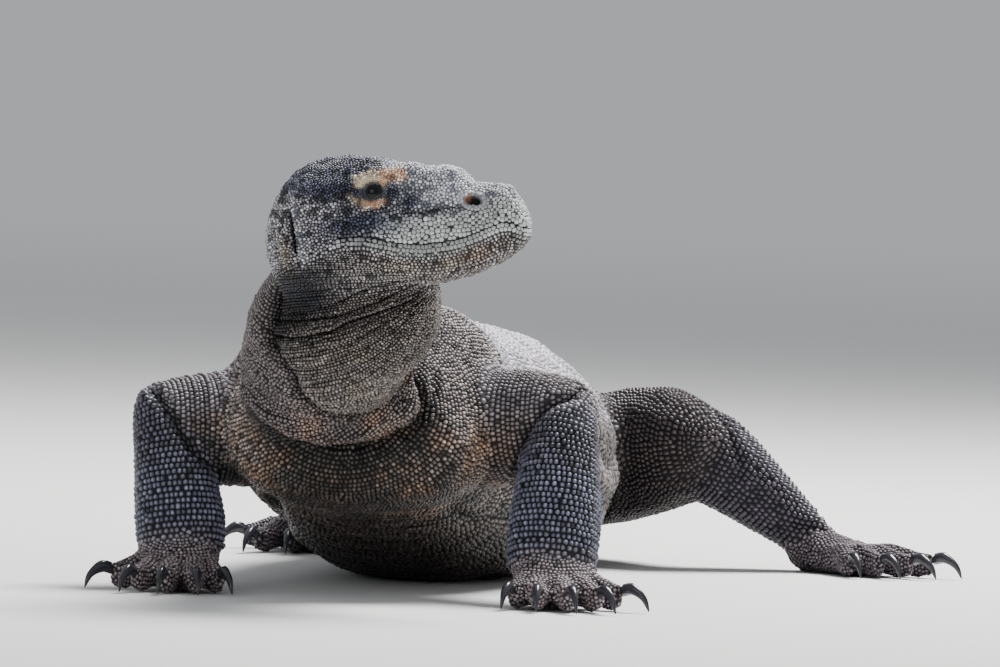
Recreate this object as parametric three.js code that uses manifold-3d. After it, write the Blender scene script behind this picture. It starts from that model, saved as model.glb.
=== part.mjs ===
// A life-size Komodo dragon (Varanus komodoensis), lying on its belly with the chest propped on its forelegs
// and the head turned to its left.
// Millimetres, +Z up, the floor at z = 0. The animal faces -Y and its left side is +X.
// The origin is on the floor, in the middle of the flat that the belly rests on.
import * as THREE from 'three';
import { mergeVertices } from 'three/addons/utils/BufferGeometryUtils.js';
import Module from 'manifold-3d';

const wasm = await Module();
wasm.setup();

// ---------------------------------------------------------------- driving dimensions
const gap = 0.3; // clearance between neighbouring pieces
const floor = 0;
const headLength = 176; // snout tip to ear
const headHeading = -18; // degrees from +X, towards the front
const headPitch = 5.8; // degrees, snout raised
const headAt = [-30, -105, 271]; // midway between the ears
const eyeRadius = 9.5;
const belly = [60, 330]; // x and y of the origin's place on the belly, in the drawing frame used below
const bodyLean = -0.035; // towards +X per millimetre of height: the whole animal leans a little to its right

const dragon = new THREE.Group();
dragon.name = 'komodo_dragon';
dragon.position.set(-belly[0], -belly[1], 0);

const colour = {
  hide: 0x6b625f,
  pale: 0x9a9694,
  lip: 0x8f928c,
  dusky: 0x4d413f,
  foot: 0x6f5a55,
  claw: 0x3a3b42,
  eye: 0x15171c,
};

function skin(name) {
  return new THREE.MeshStandardMaterial({ color: colour[name], roughness: 0.75, metalness: 0 });
}

const claws = new THREE.MeshStandardMaterial({ color: colour.claw, roughness: 0.3, metalness: 0 });
const wetEye = new THREE.MeshStandardMaterial({ color: colour.eye, roughness: 0.05, metalness: 0 });

// ---------------------------------------------------------------- solids
function solidOf(geometry) {
  const bare = geometry.index ? geometry.toNonIndexed() : geometry.clone();
  bare.deleteAttribute('normal');
  bare.deleteAttribute('uv');
  const merged = mergeVertices(bare, 1e-3);
  return new wasm.Manifold(
    new wasm.Mesh({
      numProp: 3,
      vertProperties: merged.attributes.position.array,
      triVerts: new Uint32Array(merged.index.array),
    }),
  );
}

// The largest piece of a cut solid; a cut can leave loose crumbs where two skins graze.
function mainPiece(solid) {
  return solid.decompose().sort((a, b) => b.volume() - a.volume())[0];
}

function geometryOf(solid) {
  const mesh = mainPiece(solid).getMesh();
  const geometry = new THREE.BufferGeometry();
  geometry.setAttribute('position', new THREE.BufferAttribute(mesh.vertProperties, 3));
  geometry.setIndex(new THREE.BufferAttribute(mesh.triVerts, 1));
  geometry.computeVertexNormals();
  return geometry;
}

function addPart(parent, name, solid, material) {
  const mesh = new THREE.Mesh(geometryOf(solid), material);
  mesh.name = name;
  parent.add(mesh);
  return mesh;
}

// A solid drawn in a group's frame, moved into the drawing frame of the whole animal.
function placed(group, geometry) {
  group.updateMatrix();
  return solidOf(geometry.clone().applyMatrix4(group.matrix));
}

// ---------------------------------------------------------------- lofted flesh
// A station of a limb or of the body: its centre, its half width, how far it reaches above and below
// the centre along `up`, and the direction that counts as up.
function station(at, wide, above, below, up = [0, 0, 1]) {
  return { at, wide, above, below, up };
}

function curveThrough(points) {
  return new THREE.CatmullRomCurve3(points.map((p) => new THREE.Vector3(...p)), false, 'centripetal');
}

const rounded = 2.2; // superellipse power of a plain fleshy section

// A closed skin round a row of stations, snout to tail or body to toe. `relief(t, angle)` adds millimetres
// along the ray from the centre; the angle is a quarter turn at the top. Nothing goes under the floor.
function loft(stations, options = {}) {
  const { sides = 16, rings = 10, from = 0, to = 1, grow = 0 } = options;
  const { power = rounded, lean = 0, relief, lowest = floor } = options;
  const centres = curveThrough(stations.map((s) => s.at));
  const sizes = new THREE.CatmullRomCurve3(
    stations.map((s) => new THREE.Vector3(s.wide, s.above, s.below)), false, 'catmullrom', 0.5);
  const ups = curveThrough(stations.map((s) => s.up));
  const positions = [];
  const indices = [];

  for (let ring = 0; ring <= rings; ring++) {
    const t = from + ((to - from) * ring) / rings;
    const centre = centres.getPoint(t);
    const size = sizes.getPoint(t);
    const ahead = centres.getTangent(t);
    const side = new THREE.Vector3().crossVectors(ups.getPoint(t), ahead).normalize();
    const up = new THREE.Vector3().crossVectors(ahead, side);
    for (let i = 0; i < sides; i++) {
      const angle = (2 * Math.PI * i) / sides;
      const c = Math.cos(angle);
      const s = Math.sin(angle);
      const height = Math.sign(s) * Math.abs(s) ** (2 / power);
      const breadth = Math.sign(c) * Math.abs(c) ** (2 / power) * (1 - lean * Math.max(0, height));
      const x = breadth * size.x;
      const z = height * (height > 0 ? size.y : size.z);
      const reach = Math.hypot(x, z);
      const scale = (reach + grow + (relief ? relief(t, angle) : 0)) / reach;
      const p = centre.clone().addScaledVector(side, x * scale).addScaledVector(up, z * scale);
      positions.push(p.x, p.y, Math.max(p.z, lowest));
    }
    if (ring > 0) {
      const a = (ring - 1) * sides;
      for (let i = 0; i < sides; i++) {
        const j = (i + 1) % sides;
        indices.push(a + i, a + j, a + sides + j, a + i, a + sides + j, a + sides + i);
      }
    }
  }

  // The two ends, each a fan from the middle of its ring.
  for (const [t, first, turn] of [[from, 0, 1], [to, rings * sides, 0]]) {
    const middle = positions.length / 3;
    const ahead = centres.getTangent(t).multiplyScalar(turn ? -grow : grow);
    const centre = centres.getPoint(t).add(ahead);
    positions.push(centre.x, centre.y, Math.max(centre.z, lowest));
    for (let i = 0; i < sides; i++) {
      const j = (i + 1) % sides;
      indices.push(middle, first + (turn ? j : i), first + (turn ? i : j));
    }
  }

  const geometry = new THREE.BufferGeometry();
  geometry.setAttribute('position', new THREE.Float32BufferAttribute(positions, 3));
  geometry.setIndex(indices);
  return geometry;
}

// One length of a loft that is divided at stations `a` and `b`, short of its neighbours by half the gap.
function lengthOf(stations, a, b, options) {
  const last = stations.length - 1;
  const span = new THREE.Vector3(...stations[Math.min(a + 1, last)].at)
    .distanceTo(new THREE.Vector3(...stations[a].at));
  const trim = gap / 2 / span / last;
  return loft(stations, {
    ...options,
    from: a / last + (a > 0 ? trim : 0),
    to: b / last - (b < last ? trim : 0),
  });
}

// A smooth swelling on a loft, centred at (t, angle) in degrees.
function swelling(t, angle, height, lengthwise, around) {
  const middle = THREE.MathUtils.degToRad(angle);
  const spread = THREE.MathUtils.degToRad(around);
  return (at, turn) => {
    const off = Math.atan2(Math.sin(turn - middle), Math.cos(turn - middle));
    return height * Math.exp(-(((at - t) / lengthwise) ** 2) - (off / spread) ** 2);
  };
}

function bothSides(t, angle, height, lengthwise, around) {
  const left = swelling(t, angle, height, lengthwise, around);
  const right = swelling(t, 180 - angle, height, lengthwise, around);
  return (at, turn) => left(at, turn) + right(at, turn);
}

function together(...reliefs) {
  return (t, angle) => reliefs.reduce((sum, relief) => sum + relief(t, angle), 0);
}

// ---------------------------------------------------------------- trunk and tail
const spine = [
  station([0, -56, 104], 34, 26, 22),
  station([0, -46, 106], 70, 46, 36),
  station([2, -22, 112], 92, 64, 48),
  station([6, 20, 119], 104, 87, 58),
  station([14, 80, 121], 111, 98, 72),
  station([32, 155, 115], 118, 100, 96),
  station([50, 240, 105], 128, 101, 110),
  station([68, 330, 98], 133, 103, 108),
  station([82, 430, 92], 128, 98, 100),
  station([96, 530, 86], 114, 90, 92),
  station([110, 620, 80], 95, 79, 84),
  station([122, 690, 72], 76, 66, 75),
  station([130, 752, 63], 59, 56, 66),
  station([136, 830, 52], 46, 50, 54),
  station([138, 930, 45], 37, 44, 47),
  station([131, 1040, 39], 30, 39, 41),
  station([110, 1160, 34], 25, 34, 36),
  station([78, 1280, 29], 21, 29, 31),
  station([42, 1400, 25], 17.5, 25, 27),
  station([16, 1520, 21], 14, 21, 22.5),
  station([8, 1640, 17], 11, 17, 18),
  station([18, 1760, 12.5], 8, 12, 13.5),
  station([40, 1870, 8], 5.4, 8, 9),
  station([62, 1952, 4.5], 2.6, 4.3, 5),
];
const spineLast = spine.length - 1;
const spineShape = together(
  bothSides(3.9 / spineLast, 52, 9, 1.1 / spineLast, 26), // shoulder blades
  bothSides(10.4 / spineLast, 35, 7, 1.0 / spineLast, 30), // hips
  swelling(8 / spineLast, 90, 3, 5 / spineLast, 20), // the ridge of the back
);
const spineLengths = [
  { name: 'chest', from: 0, to: 5, rings: 9, sides: 24 },
  { name: 'belly', from: 5, to: 9, rings: 5, sides: 24 },
  { name: 'hips', from: 9, to: 12, rings: 4, sides: 22 },
  { name: 'tail_base', from: 12, to: 14, rings: 3, sides: 16 },
  { name: 'tail_front', from: 14, to: 16, rings: 3, sides: 14 },
  { name: 'tail_middle', from: 16, to: 18, rings: 3, sides: 12 },
  { name: 'tail_rear', from: 18, to: 20, rings: 3, sides: 10 },
  { name: 'tail_tip', from: 20, to: 23, rings: 4, sides: 8 },
];
const trunkGrown = [];
for (const { name, from, to, rings, sides } of spineLengths) {
  const options = { rings, sides, relief: spineShape };
  addPart(dragon, name, solidOf(lengthOf(spine, from, to, options)), skin('hide'));
  if (from < 14) {
    trunkGrown.push(solidOf(lengthOf(spine, from, to, { ...options, grow: gap })));
  }
}

function clearOf(solid, neighbours) {
  return neighbours.reduce((rest, neighbour) => rest.subtract(neighbour), solid);
}

// ---------------------------------------------------------------- head
// Drawn in its own frame: x forwards from between the ears, y to the animal's left, z up, and z = 0 at the
// height of the lips. Each row is the distance behind the snout tip, then half width, above and below.
const head = new THREE.Group();
head.name = 'head_group';
head.position.set(...headAt);
head.rotation.order = 'ZYX';
head.rotation.set(
  0, THREE.MathUtils.degToRad(-headPitch), THREE.MathUtils.degToRad(headHeading));
dragon.add(head);

const headRows = [
  [0, 6, 9, 5],
  [3, 13.5, 18, 11],
  [10, 19, 28, 18],
  [22, 23.5, 33.5, 25],
  [38, 26.5, 36.5, 31],
  [56, 29, 47, 36],
  [80, 33.5, 51.5, 39],
  [108, 41, 57.5, 41],
  [135, 51, 62.5, 43],
  [158, 57.5, 60, 45],
  [176, 56.5, 52, 46],
  [190, 47, 37, 40],
  [199, 30, 20, 26],
];
const headStations = headRows.map(
  ([back, wide, above, below]) => station([headLength - back, 0, 0], wide, above, below));
const headRear = headRows.at(-1)[0];

// The place on the loft of a point so far behind the snout tip.
function along(back) {
  const next = headRows.findIndex((row) => row[0] >= back);
  const share = (back - headRows[next - 1][0]) / (headRows[next][0] - headRows[next - 1][0]);
  return (next - 1 + share) / (headRows.length - 1);
}

const headShape = together(
  bothSides(along(104), 56, 5, 0.07, 17), // brow ridges
  swelling(along(100), 90, -2.5, 0.1, 18), // the dip between them
  bothSides(along(47), 58, 3.5, 0.06, 22), // nasal swellings
  bothSides(along(26), 66, -2, 0.05, 30), // the dip in front of the nostrils
  bothSides(along(76), 24, -3.5, 0.08, 18), // hollow cheeks in front of the eyes
  bothSides(along(150), 30, 3, 0.09, 20), // temples
  bothSides(along(150), -22, 4, 0.1, 22), // jaw muscles
);
const headOptions = { sides: 22, rings: 18, power: 2.6, lean: 0.24, relief: headShape, lowest: -Infinity };
const headWhole = solidOf(loft(headStations, headOptions));
const headGrown = loft(headStations, { ...headOptions, grow: gap });

function ball(radii, at, sides = 8) {
  return solidOf(new THREE.SphereGeometry(1, sides, sides - 3).scale(...radii).translate(...at));
}

// The line of the lips in side view: distance behind the snout tip, then height.
const lips = [[-12, 1], [3, 3], [14, 5], [25, 2], [40, -3], [61, -7], [80, -8], [98, -5], [113, -1], [130, 2], [144, -1]];
const jawHinge = lips.at(-1)[0];

// Everything under the lips and ahead of the corner of the mouth, with its upper edge raised by `raise`.
function underLips(raise) {
  const line = new THREE.SplineCurve(lips.map(([back, z]) => new THREE.Vector2(headLength - back, z)));
  const outline = new THREE.Shape(line.getPoints(14).map((p) => new THREE.Vector2(p.x, p.y + raise)));
  outline.lineTo(headLength - jawHinge - 10 - raise, -80);
  outline.lineTo(headLength + 30, -80);
  const breadth = 160;
  const tool = new THREE.ExtrudeGeometry(outline, { depth: breadth, bevelEnabled: false });
  return solidOf(tool.rotateX(Math.PI / 2).translate(0, breadth / 2, 0));
}

const eyeAt = [headLength - 110, 25.5, 31];
const nostrilAt = [headLength - 36, 25, 20];
const earAt = [headLength - 172, 58, 3];
let cranium = headWhole.subtract(underLips(gap));
for (const side of [-1, 1]) {
  const [x, y, z] = eyeAt;
  cranium = cranium.subtract(ball(Array(3).fill(eyeRadius + gap), [x, y * side, z], 12));
  cranium = cranium.subtract(ball([6.5, 7, 4], [nostrilAt[0], nostrilAt[1] * side, nostrilAt[2]]));
  cranium = cranium.subtract(ball([4, 7, 14], [earAt[0], earAt[1] * side, earAt[2]]));
  const name = side > 0 ? 'eye_left' : 'eye_right';
  addPart(head, name, ball(Array(3).fill(eyeRadius), [x, y * side, z], 12), wetEye);
}
addPart(head, 'head', cranium, skin('pale'));
const jaw = headWhole.intersect(underLips(0));
addPart(head, 'lower_jaw', jaw, skin('lip'));
const headCut = placed(head, headGrown);

// ---------------------------------------------------------------- neck
// It rises from between the shoulders and turns left into the head. Up is the nape; below is the throat,
// which hangs as a pouch under the jaw.
const neck = [
  station([12, 62, 134], 66, 54, 48, [0, 0.5, 1]),
  station([-6, 8, 147], 72, 60, 55, [-0.05, 0.7, 0.7]),
  station([-21, -36, 172], 63, 54, 59, [-0.25, 0.95, 0.15]),
  station([-21, -68, 202], 60, 48, 70, [-0.6, 0.8, 0]),
  station([-12, -88, 234], 56, 44, 89, [-0.85, 0.5, 0.1]),
  station([-6, -98, 262], 46, 38, 80, [-0.9, 0.2, 0.4]),
];
const neckOptions = { sides: 16, rings: 10, from: 0.08 };
const neckLoft = solidOf(loft(neck, neckOptions));
const neckSolid = clearOf(neckLoft, [...trunkGrown, headCut]);
addPart(dragon, 'neck', neckSolid, skin('hide'));
const neckGrown = solidOf(loft(neck, { ...neckOptions, grow: gap }));

// ---------------------------------------------------------------- legs
const back = [0, 1, 0];
const limbs = [
  {
    name: 'upper_arm_left', tone: 'hide',
    stations: [
      station([60, 50, 124], 48, 46, 46),
      station([108, 36, 130], 46, 47, 47),
      station([146, 17, 137], 38, 41, 42),
      station([171, 3, 138], 30, 31, 33),
      station([183, -3, 134], 15, 16, 17),
    ],
  },
  {
    name: 'forearm_left', tone: 'dusky',
    stations: [
      station([172, 3, 154], 12, 13, 13, back),
      station([168, -2, 140], 22, 25, 26, back),
      station([161, -16, 110], 30, 32, 33, back),
      station([157, -36, 74], 35, 30, 32, back),
      station([154, -52, 45], 36, 26, 28, back),
      station([153, -61, 24], 34, 22, 24, back),
    ],
  },
  {
    name: 'upper_arm_right', tone: 'hide',
    stations: [
      station([-46, 66, 122], 50, 44, 46),
      station([-90, 60, 124], 48, 42, 48),
      station([-126, 50, 126], 42, 37, 44),
      station([-150, 42, 126], 31, 28, 33),
      station([-162, 37, 125], 15, 15, 17),
    ],
  },
  {
    name: 'forearm_right', tone: 'dusky',
    stations: [
      station([-153, 45, 149], 11, 12, 12, back),
      station([-149, 40, 133], 19, 23, 24, back),
      station([-141, 31, 103], 26, 29, 31, back),
      station([-132, 18, 70], 34, 29, 32, back),
      station([-129, 9, 46], 36, 26, 28, back),
      station([-129, 3, 28], 33, 22, 24, back),
    ],
  },
  {
    name: 'thigh_left', tone: 'dusky',
    stations: [
      station([130, 655, 78], 58, 50, 58),
      station([185, 625, 82], 56, 50, 57),
      station([226, 578, 94], 50, 53, 56),
      station([258, 536, 101], 43, 49, 51),
      station([279, 512, 99], 29, 34, 36),
      station([287, 502, 96], 12, 14, 14),
    ],
  },
  {
    name: 'shank_left', tone: 'dusky',
    stations: [
      station([256, 537, 108], 22, 20, 20),
      station([274, 538, 101], 38, 39, 41),
      station([306, 545, 80], 38, 34, 36),
      station([340, 552, 53], 30, 26, 28),
      station([368, 556, 32], 24, 19, 21),
      station([382, 556, 22], 20, 14, 15),
    ],
  },
  {
    name: 'thigh_right', tone: 'dusky',
    stations: [
      station([128, 662, 78], 56, 50, 58),
      station([82, 640, 80], 53, 48, 56),
      station([38, 596, 86], 46, 46, 51),
      station([6, 552, 91], 39, 42, 46),
      station([-7, 533, 90], 26, 28, 31),
      station([-13, 524, 88], 11, 12, 13),
    ],
  },
  {
    name: 'shank_right', tone: 'dusky',
    stations: [
      station([4, 546, 100], 20, 18, 18),
      station([-8, 556, 92], 34, 34, 38),
      station([-20, 586, 74], 34, 31, 34),
      station([-32, 616, 52], 28, 25, 27),
      station([-40, 640, 34], 23, 20, 22),
      station([-43, 650, 25], 19, 16, 16),
    ],
  },
];

// ---------------------------------------------------------------- hands and feet
// Each is drawn in a frame on the floor under its wrist or ankle: x towards the toes, y to its left. A digit
// has its root on that floor plan, its angle from x, and its length to the base of the claw.
const hand = {
  palm: [
    station([-22, 0, 28], 16, 16, 20),
    station([-10, 0, 30], 29, 24, 32),
    station([10, 0, 24], 32, 20, 28),
    station([25, 0, 18], 29, 14, 21),
    station([34, 0, 13], 20, 8, 15),
  ],
  digits: [
    { root: [8, -18], angle: -32, length: 39 },
    { root: [17, -12], angle: -15, length: 44 },
    { root: [20, -1], angle: 0, length: 48 },
    { root: [16, 10], angle: 16, length: 48 },
    { root: [4, 18], angle: 44, length: 41 },
  ],
};
const foot = {
  palm: [
    station([-22, 0, 18], 14, 12, 14),
    station([-8, 0, 20], 24, 18, 22),
    station([20, 0, 17], 27, 16, 20),
    station([42, 0, 13], 28, 12, 16),
    station([55, 0, 10], 19, 7, 12),
  ],
  digits: [
    { root: [32, -17], angle: -35, length: 40 },
    { root: [38, -10], angle: -18, length: 51 },
    { root: [40, -1], angle: -3, length: 61 },
    { root: [36, 9], angle: 13, length: 68 },
    { root: [4, 14], angle: 46, length: 50 },
  ],
};

const clawSpan = 25; // root to point, along the floor

// A digit arched over its knuckle, drawn straight along x from the origin, its pads on the floor.
function digit(length, grow = 0) {
  const path = [
    station([0, 0, 17], 8.5, 9, 15),
    station([0.45 * length, 0, 18], 8, 11, 17),
    station([0.78 * length, 0, 14.5], 7.8, 8.5, 17),
    station([length, 0, 14], 6.4, 7, 14.5),
  ];
  return loft(path, { sides: 6, rings: 3, grow });
}

// A hooked claw, deeper than it is wide, its point just above the floor.
function claw(length) {
  const path = [
    station([length - 6, 0, 14], 4.2, 5, 5),
    station([length + 0.26 * clawSpan, 0, 19.5], 4.6, 5.4, 6.4),
    station([length + 0.66 * clawSpan, 0, 16.5], 3.8, 4.2, 5),
    station([length + 0.93 * clawSpan, 0, 8.5], 2.4, 2.6, 2.8),
    station([length + clawSpan, 0, 1.3], 0.6, 0.7, 0.7),
  ];
  return loft(path, { sides: 5, rings: 3, power: 2 });
}

function turned(geometry, { root, angle }) {
  return geometry.rotateZ(THREE.MathUtils.degToRad(angle)).translate(root[0], root[1], 0);
}

function addExtremity(name, plan, at, heading, mirrored, tone) {
  const group = new THREE.Group();
  group.name = `${name}_group`;
  group.position.set(at[0], at[1], 0);
  group.rotation.z = THREE.MathUtils.degToRad(heading);
  dragon.add(group);
  const flip = mirrored ? -1 : 1;
  const digits = plan.digits.map(({ root, angle, length }) => (
    { root: [root[0], root[1] * flip], angle: angle * flip, length }));

  const palmOptions = { sides: 10, rings: 4 };
  const flesh = digits.reduce(
    (sum, d) => sum.add(solidOf(turned(digit(d.length), d))), solidOf(loft(plan.palm, palmOptions)));
  addPart(group, name, flesh, skin(tone));
  const grown = [loft(plan.palm, { ...palmOptions, grow: gap })];
  digits.forEach((d) => grown.push(turned(digit(d.length, gap), d)));
  const bed = grown.map(solidOf);
  digits.forEach((d, i) => {
    const horn = clearOf(solidOf(turned(claw(d.length), d)), bed);
    addPart(group, `${name}_claw_${i + 1}`, horn, claws);
  });
  return grown.map((geometry) => placed(group, geometry));
}

const extremities = {
  forearm_left: addExtremity('hand_left', hand, [153, -62], -78, false, 'foot'),
  forearm_right: addExtremity('hand_right', hand, [-129, 2], -99, true, 'foot'),
  shank_left: addExtremity('foot_left', foot, [374, 553], -38, false, 'foot'),
  shank_right: addExtremity('foot_right', foot, [-42, 638], -102, true, 'foot'),
};

const limbOptions = { sides: 10, rings: 7 };
const finished = [...trunkGrown, neckGrown, headCut];
for (const { name, tone, stations } of limbs) {
  const solid = clearOf(solidOf(loft(stations, limbOptions)), [...finished, ...(extremities[name] ?? [])]);
  addPart(dragon, name, solid, skin(tone));
  finished.push(solidOf(loft(stations, { ...limbOptions, grow: gap })));
}

// The lean, put on every piece at the end.
dragon.updateMatrixWorld();
const leaning = new THREE.Matrix4().makeShear(0, 0, 0, 0, bodyLean, 0);
dragon.traverse((part) => {
  if (!part.isMesh) return;
  const inWorld = part.matrixWorld;
  part.geometry.applyMatrix4(inWorld).applyMatrix4(leaning).applyMatrix4(inWorld.clone().invert());
});

export default dragon;
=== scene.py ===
import math
import random
import time
from itertools import product

import bmesh
import bpy
import numpy as np
from mathutils import Matrix, Vector, noise
from mathutils.bvhtree import BVHTree
from mathutils.kdtree import KDTree


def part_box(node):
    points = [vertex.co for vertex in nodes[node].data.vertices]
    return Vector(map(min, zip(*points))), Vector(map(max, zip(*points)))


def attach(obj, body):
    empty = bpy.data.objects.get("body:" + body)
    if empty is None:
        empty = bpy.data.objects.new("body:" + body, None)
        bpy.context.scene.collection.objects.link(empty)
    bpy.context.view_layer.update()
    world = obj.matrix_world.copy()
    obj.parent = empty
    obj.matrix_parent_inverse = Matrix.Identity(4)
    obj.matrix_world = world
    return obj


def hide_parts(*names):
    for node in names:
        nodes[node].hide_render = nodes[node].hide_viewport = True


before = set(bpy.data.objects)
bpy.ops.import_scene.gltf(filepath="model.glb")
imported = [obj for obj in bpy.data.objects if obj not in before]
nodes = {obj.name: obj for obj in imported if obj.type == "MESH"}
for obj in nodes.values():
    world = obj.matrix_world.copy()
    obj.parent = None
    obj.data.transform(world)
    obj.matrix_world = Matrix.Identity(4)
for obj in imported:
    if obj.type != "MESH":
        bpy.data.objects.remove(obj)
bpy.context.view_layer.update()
random.seed(7)
rng = np.random.default_rng(7)
began = time.time()
lean = -0.035  # towards +X per metre of height


def report(stage):
    print(f"[{time.time() - began:6.1f} s] {stage}")


def norm(v):
    return v / np.maximum(np.linalg.norm(v, axis=-1, keepdims=True), 1e-12)


def smoothstep(a, b, x):
    t = np.clip((x - a) / (b - a), 0, 1)
    return t * t * (3 - 2 * t)


def bell(x, width):
    return np.exp(-(x / width) ** 2)


def spot(x, y, long, high):
    # a soft oval patch
    return bell(np.hypot(x / long, y / high), 1.0)


def within(x, start, full, fading, end):
    return smoothstep(start, full, x) * smoothstep(end, fading, x)


def upright(points):
    # the animal leans a little; places below are written as if it stood straight
    return points - np.asarray(points)[..., 2:] * np.array([lean, 0, 0])


def grain(points, size, seed=0.0):
    # smooth noise, about -1 to 1, with lumps of the given size
    shift = Vector((seed * 3.1, seed * 7.7, seed * 1.3))
    return np.array([noise.noise(Vector(p) / size + shift) for p in points]) * 1.6


def added(name, data):
    obj = bpy.data.objects.new(name, data)
    bpy.context.scene.collection.objects.link(obj)
    return obj


def smoothPath(points, steps=8):
    # Catmull-Rom through the points
    p = np.array([points[0], *points, points[-1]], float)
    out = []
    for i in range(1, len(p) - 2):
        a, b, c, d = p[i - 1], p[i], p[i + 1], p[i + 2]
        for t in np.linspace(0, 1, steps, endpoint=False):
            out.append(0.5 * (2 * b + (c - a) * t + (2 * a - 5 * b + 4 * c - d) * t ** 2
                              + (3 * b - a - 3 * c + d) * t ** 3))
    out.append(p[-2])
    return np.array(out)


def alongPath(points, path):
    # arc length of the nearest place on a path, and the distance from it
    a, b = path[:-1], path[1:]
    span = b - a
    length = np.linalg.norm(span, axis=1)
    start = np.concatenate([[0], np.cumsum(length)[:-1]])
    best = np.full(len(points), 1e9)
    s = np.zeros(len(points))
    for i in range(len(a)):
        t = np.clip((points - a[i]) @ span[i] / length[i] ** 2, 0, 1)
        off = np.linalg.norm(points - (a[i] + t[:, None] * span[i]), axis=1)
        near = off < best
        best[near] = off[near]
        s[near] = (start[i] + t * length[i])[near]
    return s, best


view = {
    "place": (0.0472, -6.83, 0.39),
    "lens": 307.9,
    "sensor": 36.0,
    "pitch": -1.644,  # degrees, looking a little down
    "roll": 2.0,
}
cameraData = bpy.data.cameras.new("camera")
cameraData.lens = view["lens"]
cameraData.sensor_width = view["sensor"]
cameraData.clip_end = 200
camera = added("camera", cameraData)
camera.matrix_world = (
    Matrix.Translation(view["place"])
    @ Matrix.Rotation(math.radians(90 + view["pitch"]), 4, "X")
    @ Matrix.Rotation(math.radians(view["roll"]), 4, "Z")
)
bpy.context.scene.camera = camera

# the head's own frame: distance behind the snout tip, distance to its left, height above the lips
headPlace = {
    "at": (-0.090, -0.435, 0.271),  # midway between the ears
    "heading": -18.0,
    "pitch": 5.8,
    "length": 0.176,  # snout tip to ear
}
headTurn = np.array(
    Matrix.Rotation(math.radians(headPlace["heading"]), 3, "Z")
    @ Matrix.Rotation(math.radians(-headPlace["pitch"]), 3, "Y")
)


def inHead(points):
    local = (upright(points) - np.array(headPlace["at"])) @ headTurn
    return headPlace["length"] - local[:, 0], local[:, 1], local[:, 2]


def centreOf(name):
    low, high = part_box(name)
    return np.array((low + high) / 2)


eyes = {side: centreOf(f"eye_{side}") for side in ("left", "right")}
low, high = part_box("eye_left")
eyeRadius = (high - low)[2] / 2
sideSign = {"left": 1, "right": -1}
# nostril and ear: place behind the snout tip and above the lips, half sizes, slant, depth, ridges beside
nostril = {"back": 0.0357, "up": 0.0216, "long": 0.0062, "high": 0.0036, "tilt": 0.30, "deep": 0.0050,
           "rim": 0.0010}
ear = {"back": 0.1675, "up": 0.004, "long": 0.016, "wide": 0.0026, "slant": -0.13, "deep": 0.0052,
       "frontRidge": 0.0022, "hindRidge": 0.0018}
lipLine = np.array([  # distance behind the snout tip, height
    (-0.012, -0.006), (0.0, -0.002), (0.009, 0.0035), (0.016, 0.0035), (0.031, -0.002), (0.044, -0.006),
    (0.057, -0.008), (0.075, -0.009), (0.093, -0.007), (0.105, -0.0035), (0.116, -0.0005), (0.1285, 0.0),
    (0.139, -0.0023), (0.2, -0.02)])
mouthCorner = 0.142

# the skin: all the flesh in one, closed over its cuts, eyes included so that it bridges their sockets
flesh = sorted(n for n in nodes if "claw" not in n and not n.startswith("eye"))
skinSize = {
    "voxel": 0.0034,
    "closing": 0.0005,  # closes the cuts between the solids
    "depth": 0.0012,  # how far the skin lies under the tips of the scales
}


def meshArrays(mesh):
    co = np.empty(len(mesh.vertices) * 3, np.float32)
    mesh.vertices.foreach_get("co", co)
    mesh.calc_loop_triangles()
    tri = np.empty(len(mesh.loop_triangles) * 3, np.int32)
    mesh.loop_triangles.foreach_get("vertices", tri)
    return co.reshape(-1, 3).astype(float), tri.reshape(-1, 3)


def vertexNormals(co, tri):
    face = np.cross(co[tri[:, 1]] - co[tri[:, 0]], co[tri[:, 2]] - co[tri[:, 0]])
    out = np.zeros_like(co)
    for k in range(3):
        for axis in range(3):
            out[:, axis] += np.bincount(tri[:, k], face[:, axis], len(co))
    return norm(out)


def newObject(name, co, faces):
    mesh = bpy.data.meshes.new(name)
    mesh.vertices.add(len(co))
    mesh.vertices.foreach_set("co", co.astype(np.float32).ravel())
    sides = faces.shape[1]
    mesh.loops.add(len(faces) * sides)
    mesh.loops.foreach_set("vertex_index", faces.astype(np.int32).ravel())
    mesh.polygons.add(len(faces))
    mesh.polygons.foreach_set("loop_start", np.arange(0, len(faces) * sides, sides, dtype=np.int32))
    mesh.update(calc_edges=True)
    mesh.shade_smooth()
    return added(name, mesh)


def remeshed(name, co, tri, voxel):
    rough = newObject(name, co, tri)
    remesh = rough.modifiers.new("remesh", "REMESH")
    remesh.mode = "VOXEL"
    remesh.voxel_size = voxel
    mesh = bpy.data.meshes.new_from_object(rough.evaluated_get(bpy.context.evaluated_depsgraph_get()))
    bpy.data.objects.remove(rough)
    return mesh


solidCo, solidTri, solidOf = [], [], []
base = 0
for index, name in enumerate([*flesh, "eye_left", "eye_right"]):
    co, tri = meshArrays(nodes[name].data)
    merged, back = np.unique(co.round(6), axis=0, return_inverse=True)
    tri = back.reshape(-1)[tri]
    swollen = merged + vertexNormals(merged, tri) * skinSize["closing"]
    solidCo.append(swollen)
    solidTri.append(tri + base)
    solidOf.append(np.full(len(tri), min(index, len(flesh))))
    base += len(merged)
solidCo, solidTri, solidOf = map(np.concatenate, (solidCo, solidTri, solidOf))
grown = remeshed("body", solidCo, solidTri, skinSize["voxel"])
report(f"remeshed skin, {len(grown.vertices)} vertices")


def belowLips(points):
    back, _, up = inHead(points)
    return np.interp(back, lipLine[:, 0], lipLine[:, 1]) - up


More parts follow.
